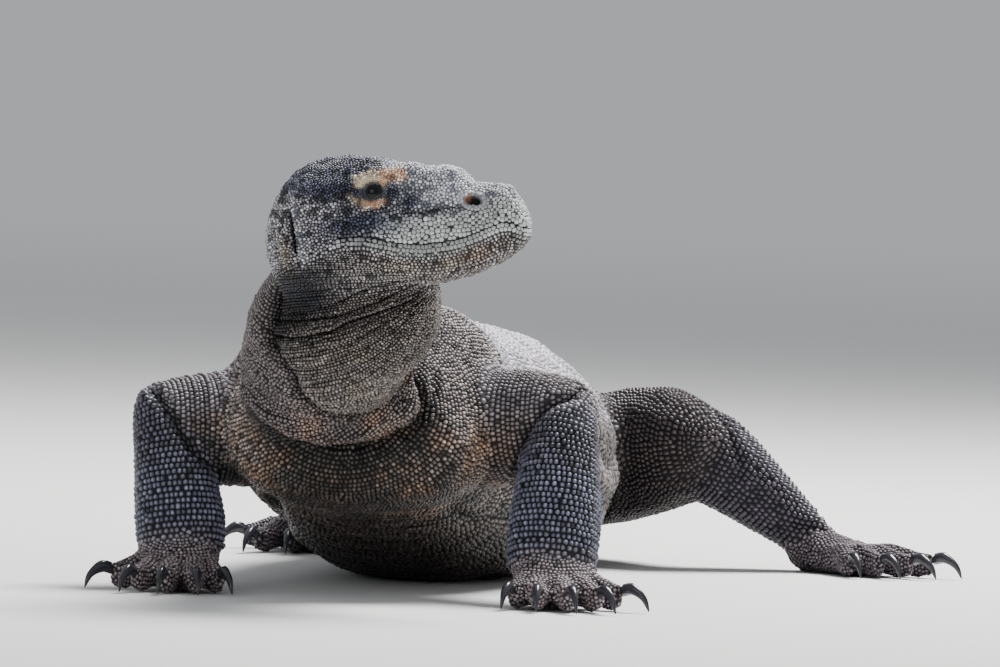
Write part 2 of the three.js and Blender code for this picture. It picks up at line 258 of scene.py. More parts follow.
def aroundNostril(points):
    # 1 on the nostril's edge, less inside
    back, left, up = inHead(points)
    b, u = back - nostril["back"], up - nostril["up"]
    along = b * math.cos(nostril["tilt"]) + u * math.sin(nostril["tilt"])
    across = u * math.cos(nostril["tilt"]) - b * math.sin(nostril["tilt"])
    away = np.hypot(along / nostril["long"], across / nostril["high"])
    return np.where(np.abs(left) > 0.012, away, 9.0)


def finer(bm, inside):
    # halves the edges of a region
    bm.verts.index_update()
    co = np.array([v.co for v in bm.verts])
    chosen = inside(co)
    edges = [e for e in bm.edges if chosen[e.verts[0].index] and chosen[e.verts[1].index]]
    bmesh.ops.subdivide_edges(bm, edges=edges, cuts=1, use_grid_fill=True)
    bmesh.ops.triangulate(bm, faces=bm.faces[:], quad_method="SHORT_EDGE")


def headAndThroat(points):
    back, left, up = inHead(points)
    near = (back < 0.235) & (left > -0.085) & (left < 0.12) & (up > -0.165)
    return near & (points[:, 2] > 0.10) & (points[:, 1] < -0.32)


def features(points):
    back, left, up = inHead(points)
    chosen = (np.abs(belowLips(points)) < 0.005) & (back < mouthCorner + 0.004)
    for centre in eyes.values():
        chosen |= np.linalg.norm(points - centre, axis=1) < 0.019
    chosen |= aroundNostril(points) < 2.6
    earSlit = (np.abs(up - ear["up"]) < 0.024) & (np.abs(back - ear["back"]) < 0.014) & (np.abs(left) > 0.03)
    return chosen | earSlit


bm = bmesh.new()
bm.from_mesh(grown)
finer(bm, headAndThroat)
finer(bm, features)
bm.to_mesh(grown)
bm.free()
co, tri = meshArrays(grown)
report(f"finer head and throat, {len(co)} vertices, {len(tri)} triangles")

# which solid each part of the skin comes from
tree = BVHTree.FromPolygons(solidCo.tolist(), solidTri.tolist())
owner = np.array([solidOf[tree.find_nearest(Vector(p))[2]] for p in co])
part = {name: owner == i for i, name in enumerate(flesh)}
report("skin parts named")


def anyOf(*names):
    return np.any([part[n] for n in names], axis=0)


edge = np.unique(np.sort(np.concatenate([tri[:, :2], tri[:, 1:], tri[:, ::2]]), axis=1), axis=0)
valence = np.bincount(edge.ravel(), minlength=len(co))[:, None]


def neighbourMean(values):
    out = np.empty_like(values)
    for axis in range(values.shape[1]):
        out[:, axis] = (np.bincount(edge[:, 0], values[edge[:, 1], axis], len(values))
                        + np.bincount(edge[:, 1], values[edge[:, 0], axis], len(values)))
    return out / valence


def relax(values, times, weight, swell=0.0):
    for _ in range(times):
        values = values + (neighbourMean(values) - values) * weight
        if swell:
            values = values - (neighbourMean(values) - values) * weight * swell
    return values


def blurred(mask, times=8):
    return relax(mask.astype(float)[:, None], times, 0.6)[:, 0]


headMask = anyOf("head", "lower_jaw") | (owner == len(flesh))
neckMask = anyOf("neck")
smoothing = {
    "body": 0.6, "head": 0.5, "ends": 0.18,  # how strongly the facets are smoothed away
    "rounds": 14, "swell": 0.55,  # how many times, and how much of the bulk is put back
    "joints": 5.2, "jointRounds": 60,  # more where the head, limbs and trunk meet
}
softness = np.full(len(co), smoothing["body"])
softness[headMask] = smoothing["head"]
softness[anyOf("hand_left", "hand_right", "foot_left", "foot_right", "tail_tip")] = smoothing["ends"]
softness = relax(softness[:, None], 6, 0.5)
co = relax(co, smoothing["rounds"], softness, swell=smoothing["swell"])
trunkParts = [n for n in flesh if n in ("chest", "belly", "hips") or n.startswith("tail")]
trunkMask = anyOf(*trunkParts)
# the joints between the solids are rounded over: head to neck, limbs to body, hands and feet to limbs
upperLimbs = anyOf("upper_arm_left", "upper_arm_right", "thigh_left", "thigh_right")
lowerLimbs = anyOf("forearm_left", "forearm_right", "shank_left", "shank_right")
extremities = anyOf("hand_left", "hand_right", "foot_left", "foot_right")
crease = blurred(headMask, 26) * blurred(neckMask | anyOf("chest"), 26)
crease = np.maximum(crease, blurred(upperLimbs, 26) * blurred(trunkMask, 26))
crease = np.maximum(crease, 0.6 * blurred(lowerLimbs, 6) * blurred(extremities, 6))
crease = np.clip(smoothing["joints"] * crease, 0, 1)[:, None]
co = relax(co, smoothing["jointRounds"], 0.6 * crease)
normal = vertexNormals(co, tri)
report("facets smoothed")

# lines that the rows of scales follow
spinePath = smoothPath([
    (-0.052, -0.285, 0.132), (-0.045, -0.23, 0.118), (-0.020, -0.13, 0.110), (0.008, 0.0, 0.098),
    (0.036, 0.2, 0.086), (0.062, 0.36, 0.072), (0.076, 0.5, 0.052), (0.071, 0.71, 0.039),
    (0.018, 0.95, 0.029), (-0.044, 1.19, 0.021), (-0.042, 1.43, 0.0125), (0.002, 1.622, 0.0045)])
capRadius = 0.1  # the chest ends in front in a cap of about this radius
limbPaths = {
    "upper_arm_left": [(-0.02, -0.275, 0.122), (0.123, -0.333, 0.134)],
    "forearm_left": [(0.112, -0.327, 0.154), (0.101, -0.346, 0.110), (0.093, -0.391, 0.0)],
    "upper_arm_right": [(-0.10, -0.262, 0.122), (-0.222, -0.293, 0.125)],
    "forearm_right": [(-0.213, -0.285, 0.149), (-0.201, -0.299, 0.103), (-0.189, -0.327, 0.0)],
    "thigh_left": [(0.06, 0.33, 0.078), (0.166, 0.248, 0.094), (0.227, 0.172, 0.096)],
    "shank_left": [(0.196, 0.207, 0.108), (0.246, 0.215, 0.08), (0.34, 0.228, 0.01)],
    "thigh_right": [(0.07, 0.33, 0.078), (-0.022, 0.266, 0.086), (-0.073, 0.194, 0.088)],
    "shank_right": [(-0.056, 0.216, 0.1), (-0.08, 0.256, 0.074), (-0.106, 0.33, 0.01)],
}
wrists = {
    "hand_left": (0.093, -0.388), "hand_right": (-0.189, -0.326),
    "foot_left": (0.31, 0.226), "foot_right": (-0.1, 0.312),
}
# where the folds of the throat gather; they level out past the bend
throatPivot = {"back": 0.080, "up": -0.034, "bend": 0.034}
neckLine = {
    "middle": [(-0.048, -0.268, 0.134), (-0.066, -0.322, 0.147), (-0.081, -0.366, 0.172),
               (-0.081, -0.398, 0.202), (-0.072, -0.418, 0.234), (-0.066, -0.428, 0.262)],
    "nape": [(0, 0.5, 1), (-0.05, 0.7, 0.7), (-0.25, 0.95, 0.15),
             (-0.6, 0.8, 0), (-0.85, 0.5, 0.1), (-0.9, 0.2, 0.4)],  # which way the nape faces
}
# edges of the pouch and of the collar: distance up the neck in metres, degrees round it from the nape
pouchEdge = {
    "right": [(0.224, 68), (0.210, 70), (0.194, 70), (0.185, 80), (0.175, 86), (0.167, 90)],
    "bottom": [(0.167, 90), (0.163, 106), (0.157, 121), (0.150, 126), (0.144, 136), (0.137, 148),
               (0.129, 167), (0.118, 189), (0.110, 210), (0.106, 230), (0.112, 245)],
    "left": [(0.112, 245), (0.135, 256), (0.160, 266), (0.190, 277), (0.224, 288)],
}
collarEdge = [(0.113, 80), (0.118, 101), (0.1135, 124), (0.109, 144), (0.0965, 173),
              (0.0925, 197), (0.0885, 215), (0.092, 240), (0.104, 268)]


def spineReach(points):
    points = upright(points)
    s = alongPath(points, spinePath)[0]
    ahead = norm(spinePath[0] - spinePath[1])
    rel = points - spinePath[0]
    front = rel @ ahead
    aside = np.linalg.norm(rel - front[:, None] * ahead, axis=1)
    cap = capRadius * (np.arctan2(aside, np.maximum(front, 0)) - math.pi / 2)
    return np.where(front > 0, cap, s)


def neckMap(points):
    # distance up the neck, degrees round it from the nape by the animal's right, distance from its middle
    points = upright(points)
    path, nape = smoothPath(neckLine["middle"]), smoothPath(neckLine["nape"])
    s, away = alongPath(points, path)
    length = np.concatenate([[0], np.cumsum(np.linalg.norm(np.diff(path, axis=0), axis=1))])
    middle = np.stack([np.interp(s, length, path[:, c]) for c in range(3)], 1)
    ahead = norm(np.stack([np.interp(s, length, np.gradient(path[:, c], length)) for c in range(3)], 1))
    top = np.stack([np.interp(s, length, nape[:, c]) for c in range(3)], 1)
    top = norm(top - (top * ahead).sum(1, keepdims=True) * ahead)
    out = points - middle
    degrees = np.degrees(np.arctan2((out * np.cross(ahead, top)).sum(1), (out * top).sum(1))) % 360
    return s, degrees, away


def pouchDistance(s, degrees):
    # distance on the neck's surface from the edge of the pouch; negative inside it
    neckRadius = 0.062
    degree = neckRadius * math.pi / 180
    flat = np.stack([s, degrees * degree, np.zeros(len(s))], 1)
    right, bottom, left = (np.array(pouchEdge[k]) for k in ("right", "bottom", "left"))
    line = np.concatenate([right, bottom[1:], left[1:]])
    away = alongPath(flat, np.stack([line[:, 0], line[:, 1] * degree, 0 * line[:, 0]], 1))[1]
    inside = s > np.interp(degrees, bottom[:, 1], bottom[:, 0])
    inside &= degrees < np.interp(s, left[:, 0], left[:, 1])
    inside &= degrees > np.interp(s, right[::-1, 0], right[::-1, 1])
    return np.where(inside, -away, away)


lids = {
    "long": 0.0056, "above": 0.0053, "below": 0.0053,  # half sizes of the opening
    "tilt": 0.10,  # it slants down towards the snout
    "thick": 0.0015,
    "ahead": 0.0008, "raised": 0.0015,  # its place, from the middle of the eyeball
    "sunk": 0.86,  # where the skin goes behind the opening, in eyeball radii
}


def lidDistance(points, side):
    # how far from the middle of the eye's opening, in eye openings; 1 is the lid's edge
    back, left, up = inHead(points)
    eyeBack, _, eyeUp = (v[0] for v in inHead(eyes[side][None]))
    b, u = back - eyeBack + lids["ahead"], up - eyeUp - lids["raised"]
    along, across = b - lids["tilt"] * u, u + lids["tilt"] * b
    shape = np.hypot(along / lids["long"], across / np.where(across > 0, lids["above"], lids["below"]))
    return np.where(left * sideSign[side] > 0.01, shape, 9.0)


back, left, up = inHead(co)
lift = np.full(len(co), -skinSize["depth"])
paintedShade = np.zeros(len(co))  # painted shade: how deep in a crease or hollow each place is, to darken its colour
drop = belowLips(co)
inMouth = headMask * smoothstep(mouthCorner + 0.002, mouthCorner - 0.014, back)


def cut(shape, depth):
    # a crease, with painted shade in it; one 4 mm deep is painted as dark as any
    global lift, paintedShade
    lift = lift - depth * shape
    paintedShade = np.maximum(paintedShade, np.clip(shape, 0, 1) * min(depth / 0.004, 1))


# places on the face are distances behind the snout tip, or behind and above the middle of the eye
faceShape = {
    "mouthLine": 0.0016, "lowerLip": 0.0010, "upperLip": 0.0007,  # depth, and how far the lips stand out
    "snoutTop": [  # place, how far out, half length
        (0.019, 0.0016, 0.010), (0.039, -0.0024, 0.0065), (0.055, 0.0018, 0.010),
        (0.088, 0.0010, 0.007), (0.100, -0.0013, 0.006), (0.112, 0.0010, 0.008)],
    "lumps": [  # behind and above the eye, slope, half length, half height, how far out
        (-0.003, 0.0120, 0.10, 0.020, 0.0052, 0.0038),  # brow
        (-0.0130, 0.001, 0.0, 0.006, 0.006, -0.0024),
        (-0.0280, -0.006, 0.0, 0.006, 0.009, -0.0022),
        (0.014, 0.003, 0.0, 0.006, 0.006, -0.0012)],
    "arcs": [(0.86, 0.0008), (1.04, 0.0013), (1.24, 0.0009), (1.44, 0.0006)],  # under the eye: place, depth
    "groove": 0.0016, "grooveRidge": 0.0008,  # from the nostril back
    "bag": 0.0008,  # the swelling under the eye
    "uneven": 0.0004, "unevenCrown": 0.0005,
    "cheekFolds": 0.0005, "cheekFoldSize": 0.0042,
}
lift -= faceShape["mouthLine"] * bell(drop, 0.0007) * inMouth
lift += faceShape["lowerLip"] * bell(drop - 0.0050, 0.0040) * inMouth
lift += faceShape["upperLip"] * bell(drop + 0.0060, 0.0050) * inMouth
crownUp = headMask * smoothstep(0.35, 0.85, normal @ (headTurn @ np.array([0, 0, 1.0])))
for place, amount, width in faceShape["snoutTop"]:
    lift += amount * bell(back - place, width) * crownUp
uneven = faceShape["uneven"] + faceShape["unevenCrown"] * crownUp
lift += uneven * grain(co, 0.008, 51) * blurred(headMask, 3)
eyeBack, _, eyeUp = (v[0] for v in inHead(eyes["left"][None]))
b, u = back - eyeBack, up - eyeUp
atSide = headMask * smoothstep(0.004, 0.014, np.abs(left))
for behind, over, slope, long, high, amount in faceShape["lumps"]:
    lift += amount * spot(b - behind, u - over + slope * b, long, high) * atSide
grooveLine = 0.0172 - 0.045 * (back - 0.045)
grooveReach = within(back, 0.040, 0.050, 0.080, 0.092) * atSide
groove = bell(up - grooveLine, 0.0016) * grooveReach
cut(groove, faceShape["groove"])
lift += faceShape["grooveRidge"] * bell(up - grooveLine - 0.004, 0.003) * grooveReach
underEye = np.hypot(b / 0.0165, (u - 0.001) / 0.0150)
lowerHalf = smoothstep(0.004, -0.004, u) * atSide
for ringAt, depth in faceShape["arcs"]:
    cut(bell(underEye - ringAt, 0.055) * lowerHalf, depth)
lift += faceShape["bag"] * bell(underEye - 1.3, 0.15) * lowerHalf
cheek = np.sin(2 * math.pi * (u + 0.42 * b + 0.0006 * grain(co, 0.01, 52)) / faceShape["cheekFoldSize"])
onCheek = within(b, 0.012, 0.020, 0.034, 0.048)
lift += faceShape["cheekFolds"] * cheek * onCheek * bell(u + 0.002, 0.014) * atSide

# nostril: a pit inside a smooth raised rim
around = aroundNostril(co)
lift -= nostril["deep"] * smoothstep(1.05, 0.55, around) * headMask
lift += nostril["rim"] * bell(around - 1.45, 0.35) * headMask

# ear: a slit between two soft ridges
e, h = back - ear["back"] + ear["slant"] * (up - ear["up"]), up - ear["up"]
beside = headMask * smoothstep(0.02, 0.03, np.abs(left))
inEar = beside * smoothstep(1.15, 0.6, np.abs(h) / ear["long"])
cut(bell(e, ear["wide"] * (0.55 + 0.45 * bell(h, 0.010))) * inEar, ear["deep"])
lift += ear["frontRidge"] * bell(e + 0.0062, 0.0034) * beside * within(h, -0.026, -0.016, 0.020, 0.030)
lift += ear["hindRidge"] * bell(e - 0.0085, 0.0038) * beside * within(h, -0.028, -0.016, 0.0, 0.012)

# throat: a pouch between two creases, folds that gather under the chin, a collar fold under it
throatShape = {
    "pouch": 0.0038, "collar": 0.0070, "nape": 0.0022,  # how far each stands out
    "pouchCrease": 0.0060, "hindCrease": 0.0040, "collarCrease": 0.0078,
    "ripples": 0.0005, "rippleSize": 0.0056,
}
upNeck, roundNeck, offNeck = neckMap(co)
onNeck = blurred((neckMask | anyOf("chest")) & (offNeck < 0.1), 4) * smoothstep(-0.02, 0.01, -up - 0.03)
pouch = pouchDistance(upNeck, roundNeck) + 0.0012 * grain(co, 0.02, 21)
inPouch = smoothstep(0.001, -0.003, pouch) * blurred(neckMask | headMask, 4)
ahead = np.maximum(back - throatPivot["back"], 0) + 0.004
down = throatPivot["up"] - up
fan = np.maximum(down, -0.05) / (1 - np.exp(-ahead / throatPivot["bend"]))
lift += throatShape["pouch"] * smoothstep(0.0, -0.016, pouch) * smoothstep(0.215, 0.17, upNeck) * onNeck
cut(bell(pouch, 0.0026) * onNeck * smoothstep(0.220, 0.200, upNeck), throatShape["pouchCrease"])
hindEdge = bell(np.maximum(pouch - 0.001, 0), 0.0034) * within(roundNeck, 60, 70, 96, 110)
cut(hindEdge * within(upNeck, 0.162, 0.170, 0.194, 0.204) * onNeck, throatShape["hindCrease"])
gathered = smoothstep(0.003, 0.016, ahead) * inPouch
wobble = grain(co, 0.03, 2) * 0.0010 + grain(co, 0.012, 5) * 0.0004
# each crease: distance behind the snout tip and place in the fan, along it; depth, width, ridge above
throatFolds = [
    ([(0.100, 0.004), (0.117, 0.006), (0.150, 0.0185), (0.174, 0.021), (0.2, 0.020)], 0.0026, 0.0018, 0.0013),
    ([(0.093, 0.0145), (0.119, 0.0225), (0.143, 0.027), (0.173, 0.027), (0.2, 0.026)],
     0.0040, 0.0019, 0.0022),
    ([(0.079, 0.035), (0.099, 0.035), (0.119, 0.033), (0.139, 0.034), (0.155, 0.039), (0.172, 0.040),
      (0.2, 0.038)], 0.0064, 0.0022, 0.0038),
    ([(0.100, 0.041), (0.122, 0.040), (0.143, 0.042), (0.164, 0.0455), (0.2, 0.047)], 0.0030, 0.0018, 0.0015),
    ([(0.085, 0.048), (0.120, 0.049), (0.150, 0.052), (0.2, 0.056)], 0.0021, 0.0018, 0.0010),
    ([(0.085, 0.060), (0.130, 0.060), (0.2, 0.066)], 0.0018, 0.0019, 0.0008),
    ([(0.085, 0.073), (0.130, 0.072), (0.2, 0.080)], 0.0014, 0.0021, 0.0007)]
for line, depth, width, ridge in throatFolds:
    fold = fan + wobble - np.interp(back, *zip(*line))
    first = line[0][0]
    onFold = gathered * smoothstep(first - 0.008, first + 0.004, back)
    cut(bell(fold, width) * onFold, depth)
    lift += ridge * bell(fold + 0.0046, 0.0032) * onFold
ripples = np.sin(2 * math.pi * (fan + 2 * wobble) / throatShape["rippleSize"])
lift += throatShape["ripples"] * ripples * gathered
collarAt = np.interp(roundNeck, [r for a, r in collarEdge], [a for a, r in collarEdge])
above = upNeck - collarAt + 0.0010 * grain(co, 0.03, 23)
collarOn = onNeck * within(roundNeck, 72, 92, 262, 285)
lift += throatShape["collar"] * bell(above - 0.0070, 0.0065) * collarOn
cut(bell(above + 0.0014, 0.0032) * collarOn, throatShape["collarCrease"])
# painted shadow under the collar fold, on the chest below it
paintedShade = np.maximum(paintedShade, 0.95 * bell(above + 0.0070, 0.0105) * collarOn * (above < 0))
# the nape stands out as a roll
onNape = (np.minimum(roundNeck, 360 - roundNeck) < 95) * smoothstep(0.15, 0.17, upNeck) * onNeck
lift += throatShape["nape"] * smoothstep(0.002, 0.014, pouch) * onNape

# creases drawn through places on the skin, with a ridge beside each: places, depth, width
bodyFolds = [
    ([(0.112, -0.328, 0.166), (0.104, -0.345, 0.158), (0.086, -0.351, 0.151), (0.073, -0.349, 0.134),
      (0.065, -0.342, 0.116), (0.060, -0.328, 0.100), (0.060, -0.305, 0.086)], 0.0042, 0.0030),
    ([(-0.224, -0.282, 0.158), (-0.218, -0.297, 0.152), (-0.208, -0.312, 0.142), (-0.196, -0.320, 0.126),
      (-0.184, -0.323, 0.107), (-0.173, -0.315, 0.094), (-0.165, -0.290, 0.080)], 0.0042, 0.0030),
    ([(-0.014, -0.350, 0.180), (-0.015, -0.369, 0.164), (-0.019, -0.384, 0.148)], 0.0022, 0.0026),
    ([(0.001, -0.354, 0.172), (-0.001, -0.372, 0.155), (-0.007, -0.384, 0.140)], 0.0022, 0.0026),
    ([(0.229, 0.190, 0.128), (0.243, 0.178, 0.105), (0.250, 0.180, 0.081)], 0.0020, 0.0035),
    ([(0.296, 0.196, 0.040), (0.318, 0.206, 0.037)], 0.0026, 0.0030),
]
for line, depth, width in bodyFolds:
    path = smoothPath(line)
    near = np.linalg.norm(co - np.mean(line, axis=0), axis=1) < 0.14
    off = np.full(len(co), 1.0)
    off[near] = alongPath(co[near], path)[1]
    cut(bell(off, width), depth)
    lift += 0.4 * depth * bell(off - 2.6 * width, 1.6 * width)

# a crease with painted shade in it where the legs leave the body, behind and below them
joint = 4 * blurred(upperLimbs, 6) * blurred(trunkMask, 6)
legRootDepth = 0.0030
behindLeg = smoothstep(-0.1, 0.6, normal[:, 1] - normal[:, 2])
cut(np.clip(joint - 0.2, 0, 1) * 1.2 * behindLeg, legRootDepth)

# flanks: two long loose folds from armpit to groin, and short upright wrinkles
straight = upright(co)
spineAt = alongPath(straight, spinePath)[0]
spineLength = np.concatenate([[0], np.cumsum(np.linalg.norm(np.diff(spinePath, axis=0), axis=1))])
outward = norm(straight - np.stack([np.interp(spineAt, spineLength, spinePath[:, c]) for c in range(3)], 1))
fromTop = np.degrees(np.arccos(np.clip(outward[:, 2], -1, 1)))
reachOn = spineReach(co)
trunkShape = {
    "flankFolds": [(84, 0.0022), (103, 0.0040), (124, 0.0046)],  # degrees from the top, depth
    "alongSpine": [(0, 5, 0.0016), (14, 8, -0.0018), (33, 13, 0.0024)],  # degrees, half width, how far out
    "lumps": [  # along the spine, degrees from the top, half length, half width in degrees, how far out
        (0.0, 48, 0.045, 20, 0.0050), (0.56, 42, 0.050, 20, 0.0045), (0.50, 66, 0.040, 20, 0.0030),
        (0.085, 62, 0.030, 30, -0.0030), (0.435, 74, 0.030, 26, -0.0036)],
    "wrinkles": 0.0016, "uneven": 0.0012,
}
softTrunk = blurred(trunkMask, 8)
onFlank = softTrunk * within(reachOn, 0.0, 0.05, 0.42, 0.56)
sway = 7 * grain(co, 0.09, 61)
comeGo = 0.5 + 0.5 * smoothstep(-0.5, 0.3, grain(co, 0.13, 65))
for place, depth in trunkShape["flankFolds"]:
    cut(bell(fromTop + sway - place, 3.6) * onFlank * comeGo, depth)
    lift += 0.8 * depth * bell(fromTop + sway - place + 9, 6.5) * onFlank * comeGo
# shoulder blades, hips, and the long muscles on each side of the spine
along = softTrunk * within(reachOn, -0.09, -0.03, 0.5, 0.8)
for degree, wide, amount in trunkShape["alongSpine"]:
    lift += along * amount * bell(fromTop - degree, wide)
for place, degree, long, wide, amount in trunkShape["lumps"]:
    lift += along * amount * spot(reachOn - place, fromTop - degree, long, wide)
wrinkleMap = np.stack([reachOn / 0.010, fromTop / 34, np.sign(outward[:, 0])], 1)
wrinkles = bell(grain(wrinkleMap, 1.0, 62), 0.30) * smoothstep(38, 70, fromTop)
nearlyTrunk = blurred(trunkMask, 6)
cut(wrinkles * nearlyTrunk * within(reachOn, -0.02, 0.02, 0.50, 0.62), trunkShape["wrinkles"])
lift += trunkShape["uneven"] * grain(co, 0.045, 63) * nearlyTrunk * smoothstep(0.9, 0.5, reachOn)

# limbs: creases round the wrists, elbows, knees and armpits
reachLimb = np.zeros(len(co))
for name, path in limbPaths.items():
    reachLimb[part[name]] = alongPath(straight, smoothPath(path))[0][part[name]]
ripple = np.sin(2 * math.pi * (reachLimb + 0.004 * grain(co, 0.05, 31)) / 0.0105)
limbCreases = {  # where they start and end along the limb, and how high they are
    "forearm_left": (0.118, 0.140, 0.0012), "forearm_right": (0.118, 0.140, 0.0012),
    "upper_arm_left": (0.05, 0.085, 0.0010), "upper_arm_right": (0.05, 0.09, 0.0010),
    "thigh_left": (0.02, 0.08, 0.0011), "shank_left": (0.13, 0.18, 0.0011),
    "thigh_right": (0.02, 0.08, 0.0011), "shank_right": (0.09, 0.14, 0.0011),
}
for name, (start, end, amount) in limbCreases.items():
    on = blurred(part[name] & (reachLimb > start) & (reachLimb < end), 5)
    lift += amount * ripple * on
    # painted shade in the troughs of the ripples
    paintedShade = np.maximum(paintedShade, 0.3 * on * smoothstep(0.2, -0.9, ripple))

co = co + normal * lift[:, None]
co[:, 2] = np.maximum(co[:, 2], 0.0004)
normal = vertexNormals(co, tri)

# lids: the skin goes in behind the opening and wraps over the eyeball around it
for name, centre in eyes.items():
    gap = lidDistance(co, name)
    rel = co - centre
    dist = np.linalg.norm(rel, axis=1)
    near = dist < eyeRadius * 2.4
    opened, rim = near & (gap < 1.0), near & (gap >= 1.0)
    co[opened] = centre + rel[opened] / dist[opened, None] * eyeRadius * lids["sunk"]
    wrap = eyeRadius + lids["thick"] * smoothstep(0.98, 1.35, gap)
    want = np.maximum(dist, wrap)
    blend = smoothstep(2.1, 1.3, gap) * rim
    co = co + rel / dist[:, None] * ((want - dist) * blend)[:, None]
normal = vertexNormals(co, tri)
openings = np.minimum(lidDistance(co, "left"), lidDistance(co, "right"))
nearEye = np.minimum(*[np.linalg.norm(co - c, axis=1) for c in eyes.values()]) < 0.03
openings = np.where(nearEye, openings, 9.0)
# painted shade in the hollows of the skin, away from the eyes' openings
hollow = ((relax(co, 8, 0.6) - co) * normal).sum(1)
paintedShade = np.maximum(paintedShade, 0.75 * smoothstep(0.0003, 0.0022, hollow) * (openings > 1.5))
report("folds and lids")

# colours, as pairs: the tops of the scales and the skin between them
tones = {
    # back: pale grey, brightened into a painted sheen
    "back": ((226, 222, 234), (120, 117, 128)),
    "loin": ((158, 151, 152), (50, 46, 47)),
    "flank": ((150, 141, 138), (36, 32, 32)),
    "chest": ((182, 167, 159), (15, 12, 11)),
    "tan": ((206, 164, 132), (46, 32, 25)),
    # mud, also laid as painted shade low on the chest
    "mudAndShade": ((70, 60, 54), (14, 11, 10)),
    # belly: painted shade, for the underside and the belly near the ground
    "belly": ((58, 50, 46), (14, 12, 11)),
    "tail": ((122, 115, 113), (30, 27, 27)),
    "shoulder": ((156, 146, 152), (21, 18, 20)),
    "forearm": ((134, 136, 160), (8, 8, 14)),
    "elbow": ((84, 80, 96), (10, 9, 13)),
    "hand": ((164, 150, 154), (24, 18, 20)),
    "thigh": ((72, 60, 63), (13, 10, 11)),
    "shank": ((84, 77, 92), (13, 12, 15)),
    "nape": ((142, 131, 131), (16, 13, 15)),
    "throat": ((156, 146, 140), (8, 6, 6)),
    # ink and deep ink: dark markings, also laid as painted shade in hollows, creases, the nostril, the ear
    # and the mouth line
    "inkAndShade": ((84, 88, 112), (12, 13, 21)),
    "deepInkAndShade": ((28, 30, 46), (5, 5, 9)),
    # snout: pale, its white tops partly a painted sheen
    "snoutAndSheen": ((255, 255, 255), (100, 102, 116)),
    "crown": ((106, 108, 127), (7, 8, 13)),
    "temple": ((206, 203, 209), (14, 13, 18)),
    "lip": ((206, 209, 207), (40, 42, 44)),
    "lowerLip": ((146, 149, 146), (52, 53, 53)),
    "lidEdge": ((104, 108, 116), (92, 96, 104)),
    "cream": ((240, 230, 206), (160, 150, 128)),
    "rim": ((184, 184, 188), (142, 142, 146)),
    "jaw": ((166, 159, 158), (9, 7, 8)),
    "straw": ((186, 172, 146), (44, 37, 30)),
    "brow": ((246, 212, 184), (176, 130, 102)),
}


def linear(rgb):
    c = np.asarray(rgb, float) / 255
    return np.where(c <= 0.04045, c / 12.92, ((c + 0.055) / 1.055) ** 2.4)


tonePair = {name: np.stack([linear(p) for p in pair]) for name, pair in tones.items()}
paint = np.repeat(tonePair["flank"][None], len(co), 0)  # vertex, top or between, rgb


def lay(tone, amount):
    global paint
    amount = np.clip(np.asarray(amount, float), 0, 1)[:, None, None]
    paint = paint * (1 - amount) + tonePair[tone][None] * amount


patches = grain(co, 0.05, 11)
blotch = grain(co, 0.022, 12)
fleck = grain(co, 0.008, 13)
broad = grain(co, 0.10, 16)
onTop = smoothstep(0.10, 0.8, normal[:, 2])
height = co[:, 2]

# the trunk and tail: pale back with a painted sheen where it faces up, browner flanks with dark and tan
# clouds, painted shade on the underside, mud and painted shade low on the chest
lay("loin", onTop)
# painted sheen: the back paler where it faces up, over its pale grey
lay("back", onTop * smoothstep(0.62, 0.20, reachOn + 0.08 * patches))
lay("thigh", trunkMask * smoothstep(0.35, 1.0, broad + 0.5 * blotch) * smoothstep(0.05, 0.16, reachOn) * 0.45)
lay("tan", trunkMask * smoothstep(0.30, 1.0, -broad + 0.6 * blotch) * smoothstep(0.10, 0.20, reachOn) * 0.28)
# painted shade: the belly's dark tone wherever the skin faces down
lay("belly", smoothstep(0.0, -0.7, normal[:, 2]))
lay("tail", smoothstep(0.45, 0.95, reachOn) * 0.9)
frontEdge = reachOn + 0.030 * patches + 0.020 * blotch - 0.03 * onTop
front = blurred(trunkMask, 4) * smoothstep(0.10, -0.045, frontEdge)
lay("chest", front)
lay("shoulder", front * onTop * 0.7)
armRoot = smoothstep(0.0, 1.0, blurred(anyOf("upper_arm_left", "upper_arm_right"), 60) + 0.12 * blotch)
lay("shoulder", armRoot * (0.55 + 0.45 * onTop))
low = smoothstep(0.150, 0.105, height)
lay("tan", (front + armRoot * 0.5) * low * smoothstep(-0.4, 0.7, blotch + 0.8 * patches) * 0.95)
# painted shade: the front darker near the ground
lay("belly", front * smoothstep(0.118, 0.078, height + 0.01 * patches) * 0.9)
muddy = smoothstep(0.1, 0.7, grain(co, 0.03, 14) + 0.1 + 0.5 * fleck)
# mud on the lower chest, and painted shade: darker towards the ground
lay("mudAndShade", front * smoothstep(0.115, 0.085, height) * muddy * 0.8)

# legs
foreArm = blurred(anyOf("forearm_left", "forearm_right"), 40)
lay("forearm", smoothstep(0.15, 0.90, foreArm + 0.10 * fleck + 0.10 * blotch))
lay("elbow", foreArm * smoothstep(0.085, 0.030, reachLimb + 0.02 * blotch) * 0.8)
hindLeg = blurred(anyOf("thigh_left", "thigh_right", "shank_left", "shank_right"), 150)
hip = softTrunk * spot(reachOn - 0.61, fromTop - 88, 0.16, 42) * (1 + 0.6 * blotch + 0.4 * patches)
lay("thigh", 0.9 * smoothstep(0.05, 0.90, hindLeg + 0.12 * blotch) + 0.6 * hip)
lay("shank", smoothstep(0.2, 0.9, blurred(anyOf("shank_left", "shank_right"), 40) + 0.15 * blotch))
lay("hand", blurred(extremities, 8))
lay("shank", blurred(anyOf("foot_left", "foot_right"), 8) * 0.6)

# neck
neck = blurred(neckMask, 12)
lay("nape", neck)
lay("throat", neck * smoothstep(0.004, -0.004, pouch))
overCollar = bell(above - 0.010, 0.012) * smoothstep(100, 120, roundNeck)
lay("tan", neck * overCollar * smoothstep(-0.5, 0.5, blotch) * 0.6)
lay("straw", neck * spot(fan - 0.075, back - 0.150, 0.020, 0.035) * smoothstep(-0.4, 0.8, blotch) * 0.5)
